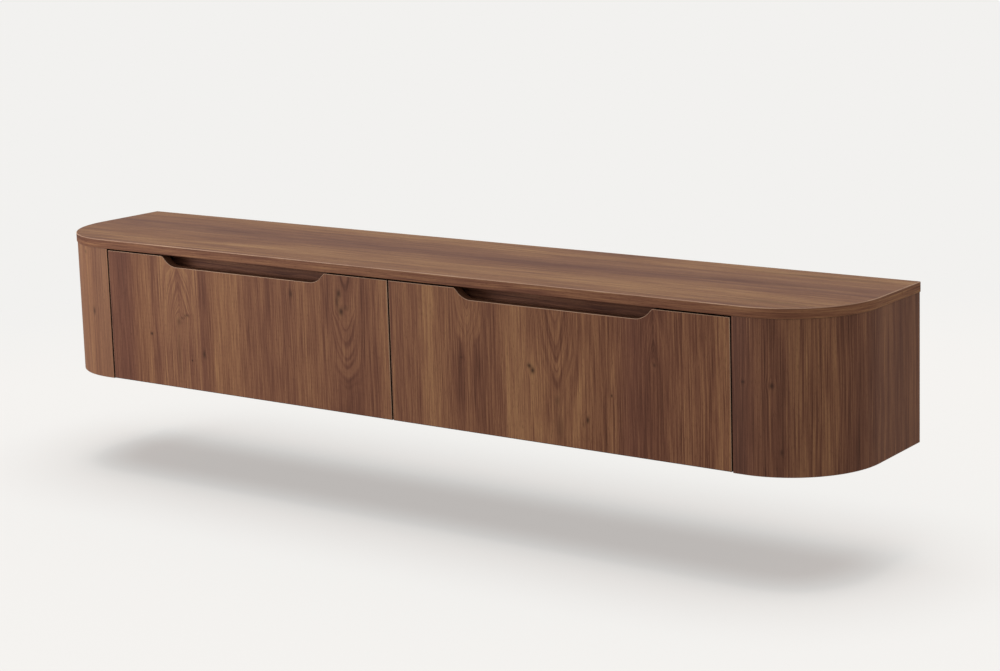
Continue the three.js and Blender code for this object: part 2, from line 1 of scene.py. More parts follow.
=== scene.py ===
"""Looks of a wall-hung walnut media console with bent ends and two drop-down flaps.

Lengths are in metres. X runs along the wall to the right, Y into the wall and Z up. The origin is
the middle of the wall rail's rear face, and the wall is the plane Y = 0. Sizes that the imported
model already holds are read from it; the classes add the sizes of edge bands, arrises and screws.
"""

import json
import logging
import math
from abc import ABC, abstractmethod
from dataclasses import dataclass
from enum import Enum

import bmesh
import bpy
import numpy as np
from mathutils import Matrix, Vector

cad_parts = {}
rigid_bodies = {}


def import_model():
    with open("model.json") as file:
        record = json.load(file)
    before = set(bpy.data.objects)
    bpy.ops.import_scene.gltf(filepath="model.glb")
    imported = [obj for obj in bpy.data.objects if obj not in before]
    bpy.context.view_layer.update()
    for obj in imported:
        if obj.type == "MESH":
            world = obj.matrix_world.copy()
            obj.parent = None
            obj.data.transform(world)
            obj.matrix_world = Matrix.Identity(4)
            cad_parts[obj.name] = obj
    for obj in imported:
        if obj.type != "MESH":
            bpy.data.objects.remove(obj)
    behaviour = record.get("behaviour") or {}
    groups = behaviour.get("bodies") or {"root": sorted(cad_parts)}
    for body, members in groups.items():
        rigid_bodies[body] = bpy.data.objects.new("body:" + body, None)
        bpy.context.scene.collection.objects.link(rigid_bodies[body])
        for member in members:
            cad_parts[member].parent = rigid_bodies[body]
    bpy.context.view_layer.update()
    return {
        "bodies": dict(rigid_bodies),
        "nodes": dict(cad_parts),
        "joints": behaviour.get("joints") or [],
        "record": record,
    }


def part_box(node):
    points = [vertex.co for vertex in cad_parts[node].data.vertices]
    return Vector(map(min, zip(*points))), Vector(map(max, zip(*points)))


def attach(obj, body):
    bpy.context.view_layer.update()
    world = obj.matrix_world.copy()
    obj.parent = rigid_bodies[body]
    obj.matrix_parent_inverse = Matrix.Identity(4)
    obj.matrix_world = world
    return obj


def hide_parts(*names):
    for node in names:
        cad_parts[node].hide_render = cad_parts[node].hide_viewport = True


Material = bpy.types.Material
Socket = bpy.types.NodeSocket

LOG = logging.getLogger("media_console")
VENEER_UV = "veneer"
MM = 0.001
RIGHT_ANGLE = math.pi / 2
SHARP_ANGLE = math.radians(40)
EASE_STEPS = 3
BEVEL_STEPS = 2
MERGE_REACH = 0.001 * MM
GLUED_ARRIS = 0.05 * MM
STRAIGHT_REACH = 30.0


class Side(Enum):
    """Left or right end of the console, with the sign of its X."""

    LEFT = -1
    RIGHT = 1

    @property
    def word(self) -> str:
        """The side's name as the model's nodes spell it."""
        return self.name.lower()


class Plane(Enum):
    """Plane of a piece's outline: the axes of its two coordinates, then of its levels."""

    LEVEL = (0, 1, 2)
    UPRIGHT = (0, 2, 1)
    END = (1, 2, 0)


class Lay(Enum):
    """How the veneer map lies: the measure across the grain and the measure along it.

    The measures are the outline's first and second coordinate, the length along the path, the
    length round the profile, the level and the offset from the path.
    """

    SECOND_ALONG = (0, 1)
    FIRST_ALONG = (1, 0)
    WRAPPED = (2, 4)
    EDGE = (3, 2)
    RIM = (5, 2)


class Grain(Enum):
    """Where a wood pattern lies: on the piece's own unrolled map, or along X on faces and edges."""

    UNROLLED = 0
    ALONG_X = 1


def linear(hex_colour: str) -> tuple[float, float, float, float]:
    """Turns an sRGB hex colour into linear light.

    Args:
        hex_colour: six hex digits after a hash.

    Returns:
        Red, green, blue and an alpha of one.
    """
    channels = [int(hex_colour[i : i + 2], 16) / 255 for i in (1, 3, 5)]
    light = [c / 12.92 if c <= 0.04045 else ((c + 0.055) / 1.055) ** 2.4 for c in channels]
    return (*light, 1.0)


class Graph:
    """The node tree of one material or world."""

    def __init__(self, owner: Material | bpy.types.World) -> None:
        """Empties the owner's node tree.

        Args:
            owner: the material or world that holds the tree.
        """
        owner.use_nodes = True
        self.tree = owner.node_tree
        self.tree.nodes.clear()

    def add(
        self,
        kind: str,
        inputs: dict[int | str, object] | None = None,
        out: int | str = 0,
        stops: tuple[tuple[float, tuple[float, ...]], ...] = (),
        steps: str = "LINEAR",
        **settings: object,
    ) -> Socket | None:
        """Adds one node with its settings and links.

        Args:
            kind: the node's type after "ShaderNode".
            inputs: a value or another node's socket for each input, by name or number.
            out: name or number of the output to return.
            stops: places and colours of a colour ramp.
            steps: how the colour ramp goes from stop to stop.
            settings: the node's own properties.

        Returns:
            The chosen output, or None where the node has none.
        """
        made = self.tree.nodes.new("ShaderNode" + kind)
        for name, value in settings.items():
            setattr(made, name, value)
        if stops:
            made.color_ramp.interpolation = steps
            elements = made.color_ramp.elements
            while len(elements) < len(stops):
                elements.new(1.0)
            for element, (place, colour) in zip(elements, stops):
                element.position = place
                element.color = (*colour[:3], 1.0)
        for name, value in (inputs or {}).items():
            if isinstance(value, Socket):
                self.tree.links.new(value, made.inputs[name])
            else:
                made.inputs[name].default_value = value
        return made.outputs[out] if len(made.outputs) else None


@dataclass(frozen=True)
class Arches:
    """Growth lines that close into arches, with lengths in millimetres.

    Attributes:
        crown: their middle, measured across the grain.
        tip: how far from the grain's far end they begin to close.
        taper: how fast they close, positive towards the far end.
        reach: how far they spread on each side of the crown.
        bluntness: radius that rounds their tips.
    """

    crown: float
    tip: float
    taper: float
    reach: float
    bluntness: float


@dataclass(frozen=True)
class Leaf:
    """One strip of the veneer's figure.

    Attributes:
        start: where it begins across the grain, in millimetres.
        tone: its lightness, with 0.5 the middle of the stain.
        red: how far the wood leans to red or purple.
        lines: how dark its growth lines are, or below zero how pale.
        arches: its arches, or none for straight grain.
    """

    start: float
    tone: float
    red: float = 0.4
    lines: float = 0.16
    arches: Arches | None = None

    def shape(self, width: float, height: float) -> tuple[float, float, float]:
        """Gives the crown and tip as shares of a sheet, and the taper halved about a half.

        Args:
            width: the sheet's width, in metres.
            height: its length along the grain, in metres.

        Returns:
            The three numbers, with the start for the crown of straight grain.
        """
        if self.arches is None:
            return self.start * MM / width, 0.0, 0.5
        tip = height - self.arches.tip * MM
        return self.arches.crown * MM / width, tip / height, 0.5 + self.arches.taper / 2

    def form(self, longest: float) -> tuple[float, float, float]:
        """Gives the reach and bluntness as shares of a length, and the lines halved about a half.

        Args:
            longest: the longest reach of any leaf, in metres.

        Returns:
            The three numbers, with no bluntness for straight grain.
        """
        held = self.arches
        reach, bluntness = (STRAIGHT_REACH, 0.0) if held is None else (held.reach, held.bluntness)
        return reach * MM / longest, bluntness * MM / longest, 0.5 + self.lines / 2


@dataclass(frozen=True)
class Knot:
    """A pin knot, with its lengths in millimetres.

    Attributes:
        across: its place across the grain.
        drop: its distance from the grain's far end.
        radius: half its width.
        dark: how dark its middle is.
        stretch: its length over its width.
    """

    across: float
    drop: float
    radius: float
    dark: float
    stretch: float


@dataclass(frozen=True)
class Stain:
    """Colours of stained walnut, from its darkest lines to its palest wood, and of its knots."""

    line: str = "#4a2c1d"
    dark: str = "#6d4633"
    middle: str = "#875d42"
    pale: str = "#a57b54"
    purple: str = "#6e463c"
    knot: str = "#2f1c14"


# Painted sheen: the top's wood is a little greyer than the upright faces, for the light it catches flat.
TOP_SHEEN_STAIN = Stain("#4c3122", "#6d4938", "#876045", "#a57f59", "#6f4e45")
# Painted shade: deep brown stands for the shade inside the case and in the flaps' notches.
INNER_SHADE_STAIN = Stain("#2e1a12", "#4e3224", "#67442f", "#7f5a43", "#4e3029", "#1c110c")
# Painted shade: nearly black edges stand for the shade in the gaps round the flaps, so that they read as
# thin dark lines.
GAP_SHADE_STAIN = Stain("#150d09", "#1f130e", "#2a1b14", "#38251b", "#201411", "#0f0906")
# Painted highlight: a thin pale line on the arris that faces the light stands for the light it catches.
ARRIS_HIGHLIGHT_STAIN = Stain("#886953", "#9d7b65", "#b59379", "#c9a88e", "#a3806f", "#7a5a46")
# Redder wood still looks warm in the shade behind a notch.
RAIL_STAIN = Stain("#37201a", "#5e3b2d", "#7e533e", "#9c7056", "#60392f", "#2a1812")


class Finish(ABC):
    """A finish with a name, whose own class builds the shader."""

    name: str

    def material(self) -> Material:
        """Makes a material of the finish's shader."""
        made = bpy.data.materials.new(self.name)
        g = Graph(made)
        g.add("OutputMaterial", {0: self.shader(g)})
        return made

    @abstractmethod
    def shader(self, g: Graph) -> Socket:
        """Builds the finish's nodes in a material's graph and returns the shader."""


@dataclass(frozen=True)
class WalnutVeneer(Finish):
    """Sliced American walnut veneer under a matt lacquer.

    It gives the eye soft strips of light and purple-brown wood, fine growth lines that close into
    arches where the leaf was cut through the tree's crown, short dark pores, a few pin knots and a
    soft sheen. Fibres and pores are drawn wider than real ones, which are too fine to show.

    After its leaves, knots and stain come where the stain's colours lie from dark to light, how
    strongly red wood is tinted, and the sizes of the grain's slow wandering, of the figure inside a
    strip, of the growth lines and their fading, of fibres, pores, arches and knots, and of the
    lacquer.
    """

    name: str
    width: float
    height: float
    leaves: tuple[Leaf, ...]
    knots: tuple[Knot, ...] = ()
    stain: Stain = Stain()
    grain: Grain = Grain.UNROLLED
    seed: float = 0.0
    tone_shares: tuple[float, ...] = (0.0, 0.3, 0.55, 0.9)
    blush: float = 0.5
    wander: float = 6.0 * MM
    wander_across: float = 80.0 * MM
    wander_along: float = 300.0 * MM
    figure_across: float = 50.0 * MM
    figure_along: float = 1200.0 * MM
    figure_depth: float = 1.2
    figure_roughness: float = 0.88
    ring: float = 4.2 * MM
    ring_along: float = 450.0 * MM
    line_width: float = 0.12
    fade_across: float = 14.0 * MM
    fade_along: float = 180.0 * MM
    fade_least: float = 0.35
    fade_full: float = 0.65
    faded: float = 0.25
    fibre_across: float = 1.7 * MM
    fibre_along: float = 80.0 * MM
    fibre_depth: float = 0.75
    pore_across: float = 0.55 * MM
    pore_along: float = 9.0 * MM
    pore_least: float = 0.62
    pore_full: float = 0.78
    pore_dark: float = 0.45
    tip_softness: float = 4.0 * MM
    closing_share: float = 0.62
    longest_reach: float = 100.0 * MM
    knot_pull: float = 0.75
    knot_flow: float = 0.2
    knot_edge: float = 1.1
    relief: float = 0.06 * MM
    roughness: float = 0.55
    roughness_spread: float = 0.05
    specular: float = 0.10

    def shader(self, g: Graph) -> Socket:
        """Builds the veneer's nodes.

        Args:
            g: the material's graph.

        Returns:
            The shader.
        """
        across, along = self._place(g)
        plane = g.add("CombineXYZ", {0: across, 1: along, 2: self.seed})
        bent, knot_dark = self._knots(g, across, along)
        distance, tone, red, lines = self._growth(g, bent, along, plane)
        fibre = self._noise(g, plane, self.fibre_across, self.fibre_along, 2.0)
        shade = self._shade(g, distance, along, tone, lines, fibre, plane)
        stain = self.stain
        tones = map(linear, (stain.line, stain.dark, stain.middle, stain.pale))
        wood = g.add("ValToRGB", {0: shade}, stops=tuple(zip(self.tone_shares, tones)))
        blush = g.add("Math", {0: red, 1: self.blush}, operation="MULTIPLY", use_clamp=True)
        wood = g.add("Mix", {0: blush, 6: wood, 7: linear(stain.purple)}, out=2, data_type="RGBA")
        pore = self._noise(g, plane, self.pore_across, self.pore_along, 0.0)
        pore = g.add("MapRange", {0: pore, 1: self.pore_least, 2: self.pore_full, 4: self.pore_dark})
        wood = g.add("Mix", {0: pore, 6: wood, 7: linear(stain.line)}, out=2, data_type="RGBA")
        wood = g.add("Mix", {0: knot_dark, 6: wood, 7: linear(stain.knot)}, out=2, data_type="RGBA")
        relief = g.add("Math", {0: fibre, 1: pore}, operation="SUBTRACT")
        bump = g.add("Bump", {"Strength": 0.12, "Distance": self.relief, "Height": relief})
        spread = self.roughness_spread
        sheen = g.add("MapRange", {0: fibre, 3: self.roughness - spread, 4: self.roughness + spread})
        return g.add("BsdfPrincipled", {
            "Base Color": wood, "Roughness": sheen, "Normal": bump, "Specular IOR Level": self.specular,
        })

    def _noise(
        self, g: Graph, place: Socket, across: float, along: float, detail: float, roughness: float = 0.5
    ) -> Socket:
        """Adds a noise that is drawn out along the grain.

        Args:
            g: the material's graph.
            place: where to read it, as across, along and seed.
            across: width of its largest marks.
            along: length of its largest marks.
            detail: how many finer layers it has.
            roughness: strength of each layer against the one before.

        Returns:
            The noise, from 0 to 1.
        """
        stretched = g.add("Mapping", {0: place, "Scale": (1 / across, 1 / along, 1.0)})
        return g.add("TexNoise", {
            "Vector": stretched, "Scale": 1.0, "Detail": detail, "Roughness": roughness,
        })

    def _place(self, g: Graph) -> tuple[Socket, Socket]:
        """Gives the coordinates across and along the grain.

        Along X, the one across is Y plus Z, so that the grain runs over a board's long edges too.

        Args:
            g: the material's graph.

        Returns:
            The two sockets, in metres.
        """
        if self.grain is Grain.UNROLLED:
            across = g.add("SeparateXYZ", {0: g.add("UVMap", uv_map=VENEER_UV)})
            return across, across.node.outputs[1]
        along = g.add("SeparateXYZ", {0: g.add("TexCoord", out="Object")})
        return g.add("Math", {0: along.node.outputs[1], 1: along.node.outputs[2]}), along

    def _knots(self, g: Graph, across: Socket, along: Socket) -> tuple[Socket, Socket | float]:
        """Parts the grain round the knots.

        A knot's bell is the exponential of minus the squared distance over its ellipse. The
        coordinate across is drawn towards the knot's middle by a wide bell, so that the grain
        flows round it, and a narrow bell darkens it.

        Args:
            g: the material's graph.
            across: the coordinate across the grain.
            along: the coordinate along the grain.

        Returns:
            The bent coordinate across and how dark the wood is.
        """
        bent, dark = across, 0.0
        for knot in self.knots:
            radius = knot.radius * MM
            off = g.add("Math", {0: across, 1: knot.across * MM}, operation="SUBTRACT")
            du = g.add("Math", {0: off, 1: radius}, operation="DIVIDE")
            dv = g.add("Math", {0: along, 1: self.height - knot.drop * MM}, operation="SUBTRACT")
            dv = g.add("Math", {0: dv, 1: radius * knot.stretch}, operation="DIVIDE")
            square = g.add("Math", {0: dv, 1: dv}, operation="MULTIPLY")
            square = g.add("Math", {0: du, 1: du, 2: square}, operation="MULTIPLY_ADD")
            wide = g.add("Math", {0: square, 1: -self.knot_flow}, operation="MULTIPLY")
            wide = g.add("Math", {0: wide}, operation="EXPONENT")
            pull = g.add("Math", {0: off, 1: -self.knot_pull}, operation="MULTIPLY")
            bent = g.add("Math", {0: pull, 1: wide, 2: bent}, operation="MULTIPLY_ADD")
            narrow = g.add("Math", {0: square, 1: -self.knot_edge}, operation="MULTIPLY")
            narrow = g.add("Math", {0: narrow}, operation="EXPONENT")
            dark = g.add("Math", {0: narrow, 1: knot.dark, 2: dark},
                         operation="MULTIPLY_ADD", use_clamp=True)
        return bent, dark

    def _growth(self, g: Graph, across: Socket, along: Socket, plane: Socket) -> tuple[Socket, ...]:
        """Works out the distance from the heart that a point of the veneer had in the tree.

        In straight grain it is the coordinate across, which wanders slowly. Round a crown it is
        the root of the squared distance from the crown plus the bluntness squared, plus the taper
        times the length past the tip. A window, one minus the squared share of the reach, squared,
        fades both out towards the reach, and an arch closes by no more than a share of its reach.

        Args:
            g: the material's graph.
            across: the coordinate across the grain.
            along: the coordinate along the grain.
            plane: the two coordinates and the seed.

        Returns:
            The distance, and the strip's tone, redness and line darkness.
        """
        drift = self._noise(g, plane, self.wander_across, self.wander_along, 2.0, 0.4)
        drift = g.add("Math", {0: drift, 1: 0.5}, operation="SUBTRACT")
        wandered = g.add("Math", {0: drift, 1: self.wander * 2, 2: across}, operation="MULTIPLY_ADD")
        share = g.add("Math", {0: wandered, 1: self.width}, operation="DIVIDE")
        starts = [leaf.start * MM for leaf in self.leaves]
        places = [start / self.width for start in starts]
        shapes = [leaf.shape(self.width, self.height) for leaf in self.leaves]
        shape = g.add("ValToRGB", {0: share}, steps="CONSTANT", stops=tuple(zip(places, shapes)))
        crown = g.add("SeparateColor", {0: shape})
        tip, taper = crown.node.outputs[1], crown.node.outputs[2]
        forms = [leaf.form(self.longest_reach) for leaf in self.leaves]
        form = g.add("ValToRGB", {0: share}, steps="CONSTANT", stops=tuple(zip(places, forms)))
        reach = g.add("SeparateColor", {0: form})
        bluntness, lines = reach.node.outputs[1], reach.node.outputs[2]
        lines = g.add("Math", {0: lines, 1: 2.0, 2: -1.0}, operation="MULTIPLY_ADD")
        look = g.add("ValToRGB", {0: share}, steps="B_SPLINE", stops=tuple(
            ((start + end) / 2 / self.width, (leaf.tone, leaf.red, 0.0))
            for leaf, start, end in zip(self.leaves, starts, starts[1:] + [self.width])
        ))
        tone = g.add("SeparateColor", {0: look})
        red = tone.node.outputs[1]

        off = g.add("Math", {0: share, 1: crown}, operation="SUBTRACT")
        off = g.add("Math", {0: off, 1: self.width}, operation="MULTIPLY")
        reach = g.add("Math", {0: reach, 1: self.longest_reach}, operation="MULTIPLY")
        window = g.add("Math", {0: off, 1: reach}, operation="DIVIDE")
        window = g.add("Math", {0: window, 1: window}, operation="MULTIPLY")
        window = g.add("Math", {0: 1.0, 1: window}, operation="SUBTRACT", use_clamp=True)
        window = g.add("Math", {0: window, 1: window}, operation="MULTIPLY")
        blunt = g.add("Math", {0: bluntness, 1: self.longest_reach}, operation="MULTIPLY")
        blunt = g.add("Math", {0: blunt, 1: window}, operation="MULTIPLY")
        blunt = g.add("Math", {0: blunt, 1: blunt}, operation="MULTIPLY")
        distance = g.add("Math", {0: off, 1: off, 2: blunt}, operation="MULTIPLY_ADD")
        distance = g.add("Math", {0: distance}, operation="SQRT")
        past = g.add("Math", {0: along, 1: self.height}, operation="DIVIDE")
        past = g.add("Math", {0: past, 1: tip}, operation="SUBTRACT")
        lean = g.add("Math", {0: taper, 1: 2 * self.height, 2: -self.height}, operation="MULTIPLY_ADD")
        lift = g.add("Math", {0: past, 1: lean}, operation="MULTIPLY")
        lift = g.add("Math", {0: lift, 1: 0.0, 2: self.tip_softness}, operation="SMOOTH_MAX")
        most = g.add("Math", {0: reach, 1: self.closing_share}, operation="MULTIPLY")
        lift = g.add("Math", {0: lift, 1: most, 2: self.tip_softness}, operation="SMOOTH_MIN")
        distance = g.add("Math", {0: lift, 1: window, 2: distance}, operation="MULTIPLY_ADD")
        distance = g.add("Math", {0: crown, 1: self.width, 2: distance}, operation="MULTIPLY_ADD")
        return distance, tone, red, lines

    def _shade(
        self, g: Graph, distance: Socket, along: Socket, tone: Socket, lines: Socket, fibre: Socket,
        plane: Socket,
    ) -> Socket:
        """Turns growth into lightness.

        It is the strip's tone, plus the figure and the fine fibre about their middle, less the
        growth lines. A growth line lies where a noise of the distance and the length crosses its
        middle, so the lines are as uneven as real years, and a slow noise fades them.

        Args:
            g: the material's graph.
            distance: the distance from the heart.
            along: the coordinate along the grain.
            tone: the strip's own lightness.
            lines: how dark its lines are.
            fibre: the fine fibre noise.
            plane: the two coordinates and the seed.

        Returns:
            The lightness, from 0 to 1.
        """
        grown = g.add("CombineXYZ", {0: distance, 1: along, 2: self.seed})
        figure = self._noise(g, grown, self.figure_across, self.figure_along, 5.0, self.figure_roughness)
        year = self._noise(g, grown, self.ring, self.ring_along, 1.0)
        year = g.add("Math", {0: year, 1: 0.5}, operation="SUBTRACT")
        year = g.add("Math", {0: year}, operation="ABSOLUTE")
        line = g.add("MapRange", {0: year, 2: self.line_width, 3: 1.0, 4: 0.0},
                     interpolation_type="SMOOTHSTEP")
        fade = self._noise(g, plane, self.fade_across, self.fade_along, 1.0)
        fade = g.add("MapRange", {0: fade, 1: self.fade_least, 2: self.fade_full, 3: 1.0, 4: self.faded})
        shade = tone
        for noise, depth in ((figure, self.figure_depth), (fibre, self.fibre_depth)):
            offset = g.add("Math", {0: noise, 1: 0.5}, operation="SUBTRACT")
            shade = g.add("Math", {0: offset, 1: depth, 2: shade}, operation="MULTIPLY_ADD")
        dip = g.add("Math", {0: line, 1: fade}, operation="MULTIPLY")
        dip = g.add("Math", {0: dip, 1: lines}, operation="MULTIPLY")
        return g.add("Math", {0: shade, 1: dip}, operation="SUBTRACT", use_clamp=True)


@dataclass(frozen=True)
class Speckled(Finish):
    """A pressed material: a noise gives it fine specks of two tones, and the light ones stand out.

    The specks are drawn coarser than real fibres and grains, which are too fine to show.
    """

    name: str
    dark: str
    light: str
    light_from: float
    speck: float
    detail: float
    roughness: float
    metallic: float
    relief: float
    dark_until: float = 0.35

    def shader(self, g: Graph) -> Socket:
        """Builds the specks' nodes.

        Args:
            g: the material's graph.

        Returns:
            The shader.
        """
        place = g.add("TexCoord", out="Object")
        noise = g.add("TexNoise", {"Vector": place, "Scale": 1 / self.speck, "Detail": self.detail})
        stops = ((self.dark_until, linear(self.dark)), (self.light_from, linear(self.light)))
        colour = g.add("ValToRGB", {0: noise}, stops=stops)
        bump = g.add("Bump", {"Strength": 0.3, "Distance": self.relief, "Height": noise})
        return g.add("BsdfPrincipled", {
            "Base Color": colour, "Roughness": self.roughness, "Metallic": self.metallic, "Normal": bump,
        })


# Medium-density fibreboard on the edge at the wall looks like even brown felt with fine flecks.
FIBREBOARD = Speckled(
    name="fibreboard core", dark="#6f543c", light="#8d6f52", light_from=0.6, speck=0.8 * MM, detail=2.0,
    roughness=0.85, metallic=0.0, relief=0.1 * MM,
)
# Ground ferrite is a dark grey ceramic with a grainy, slightly shiny face.
FERRITE = Speckled(
    name="ferrite magnet", dark="#3a3b3e", light="#56575b", light_from=0.65, speck=MM / 0.9, detail=4.0,
    roughness=0.42, metallic=0.4, relief=0.05 * MM,
)


@dataclass(frozen=True)
class BentPly(Finish):
    """Edge of a bent lamination: thin walnut-stained plies with dark glue lines that follow the bend.

    Its fibres are drawn wider than real ones, which are too fine to show.
    """

    name: str = "bent plywood edge"
    light: str = "#8a674c"
    dark: str = "#5b3f30"
    ply: float = 1.5 * MM
    fibre_across: float = 2 / 3 * MM
    fibre_along: float = 50 / 3 * MM
    relief: float = 0.08 * MM

    def shader(self, g: Graph) -> Socket:
        """Builds the ply edge's nodes.

        Args:
            g: the material's graph.

        Returns:
            The shader.
        """
        place = g.add("UVMap", uv_map=VENEER_UV)
        across = g.add("SeparateXYZ", {0: place})
        layer = g.add("Math", {0: across, 1: 1 / self.ply}, operation="MULTIPLY")
        within = g.add("Math", {0: layer, 1: 1.0}, operation="PINGPONG")
        drawn = g.add("Mapping", {0: place, "Scale": (1 / self.fibre_across, 1 / self.fibre_along, 1.0)})
        fibre = g.add("TexNoise", {"Vector": drawn, "Scale": 1.0, "Detail": 3.0})
        tone = g.add("Math", {0: fibre, 1: 0.5, 2: within}, operation="MULTIPLY_ADD")
        colour = g.add("ValToRGB", {0: tone}, stops=(
            (0.2, linear(self.dark)), (0.45, linear(self.light)), (0.95, linear(self.light)),
            (1.0, linear(self.dark)),
        ))
        bump = g.add("Bump", {"Strength": 0.2, "Distance": self.relief, "Height": fibre})
        return g.add("BsdfPrincipled", {"Base Color": colour, "Roughness": 0.6, "Normal": bump})


@dataclass(frozen=True)
class ZincPlate(Finish):
    """Zinc-plated pressed steel: a cool satin grey with a faint rolled grain and cloudy patches.

    The rolled grain is drawn coarser than the real one, which is too fine to show.
    """

    name: str = "zinc-plated steel"
    light: str = "#c4c6c9"
    dark: str = "#a3a6aa"
    roughness: float = 0.34
    roughness_spread: float = 0.08
    cloud: float = 14.0 * MM
    rolled_along: float = 100 / 3 * MM
    rolled_across: float = MM / 2.2
    relief: float = 0.02 * MM

    def shader(self, g: Graph) -> Socket:
        """Builds the plated steel's nodes.

        Args:
            g: the material's graph.

        Returns:
            The shader.
        """
        place = g.add("TexCoord", out="Object")
        cloud = g.add("TexNoise", {"Vector": place, "Scale": 1 / self.cloud, "Detail": 3.0})
        fine = 1 / self.rolled_across
        drawn = g.add("Mapping", {0: place, "Scale": (1 / self.rolled_along, fine, fine)})
        rolled = g.add("TexNoise", {"Vector": drawn, "Scale": 1.0, "Detail": 2.0})
        stops = ((0.3, linear(self.dark)), (0.7, linear(self.light)))
        colour = g.add("ValToRGB", {0: cloud}, stops=stops)
        spread = self.roughness_spread
        rough = g.add("MapRange", {0: rolled, 3: self.roughness - spread, 4: self.roughness + spread})
        bump = g.add("Bump", {"Strength": 0.06, "Distance": self.relief, "Height": rolled})
        return g.add("BsdfPrincipled", {
            "Base Color": colour, "Metallic": 1.0, "Roughness": rough, "Normal": bump,
        })


@dataclass(frozen=True)
class MouldedNylon(Finish):
    """Injection-moulded nylon with a spark-eroded texture: matt, with a fine even grain.

    The grain is drawn coarser than the real one, which is too fine to show.
    """

    name: str
    colour: str
    roughness: float = 0.55
    roughness_spread: float = 0.06
    grit: float = 0.5 * MM
    flow: float = 50 / 3 * MM
    relief: float = 0.03 * MM

    def shader(self, g: Graph) -> Socket:
        """Builds the plastic's nodes.

        Args:
            g: the material's graph.

        Returns:
            The shader.
        """
        place = g.add("TexCoord", out="Object")
        grit = g.add("TexNoise", {"Vector": place, "Scale": 1 / self.grit, "Detail": 2.0})
        flow = g.add("TexNoise", {"Vector": place, "Scale": 1 / self.flow, "Detail": 2.0})
        tint = g.add("MapRange", {0: flow, 3: 0.92, 4: 1.08})
        colour = g.add("VectorMath", {0: linear(self.colour)[:3], "Scale": tint}, operation="SCALE")
        spread = self.roughness_spread
        rough = g.add("MapRange", {0: grit, 3: self.roughness - spread, 4: self.roughness + spread})
        bump = g.add("Bump", {"Strength": 0.25, "Distance": self.relief, "Height": grit})
        return g.add("BsdfPrincipled", {"Base Color": colour, "Roughness": rough, "Normal": bump})


@dataclass(frozen=True)
class Skin:
    """One covering of a piece: its material, how the veneer map lies and where the map starts."""

    material: Material
    lay: Lay = Lay.SECOND_ALONG
    origin: tuple[float, float] = (0.0, 0.0)


@dataclass(frozen=True)
class Surface:
    """A surface before it becomes a piece: points, faces, a zone for each face, corner measures."""

    points: np.ndarray
    faces: list[list[int]]
    zones: np.ndarray
    measures: np.ndarray


def arc(centre: tuple[float, float], radius: float, start: float, end: float, steps: int) -> np.ndarray:
    """Points on a circle: the centre plus the radius times the cosine and sine of even angles.

    Args:
        centre: middle of the circle.
        radius: its radius.
        start: first angle.
        end: last angle.
        steps: number of chords.

    Returns:
        The points, one a row.
    """
    angles = np.linspace(start, end, steps + 1)
    return np.column_stack((centre[0] + radius * np.cos(angles), centre[1] + radius * np.sin(angles)))


def mitres(path: np.ndarray, looped: bool) -> np.ndarray:
    """Offset directions at a path's corners.

    Each is the sum of the normals of the two lines that meet there, over one plus the product of
    these normals. A line's normal is its direction turned clockwise, so it points out of an
    outline that runs anticlockwise.

    Args:
        path: the corners, one a row.
        looped: whether the last corner joins the first.

    Returns:
        One direction for each corner.
    """
    ahead = np.roll(path, -1, axis=0) - path
    if not looped:
        ahead[-1] = ahead[-2]
    ahead /= np.linalg.norm(ahead, axis=1, keepdims=True)
    normals = np.column_stack((ahead[:, 1], -ahead[:, 0]))
    before = np.roll(normals, 1, axis=0)
    if not looped:
        before[0] = normals[0]
    return (normals + before) / (1 + np.sum(normals * before, axis=1, keepdims=True))


def lengths(path: np.ndarray) -> np.ndarray:
    """Distance of each corner from the first, and of the first again at the end of a loop.

    Args:
        path: the corners, one a row.

    Returns:
        One more distance than there are corners.
    """
    ahead = np.roll(path, -1, axis=0) - path
    return np.concatenate(([0.0], np.cumsum(np.linalg.norm(ahead, axis=1))))


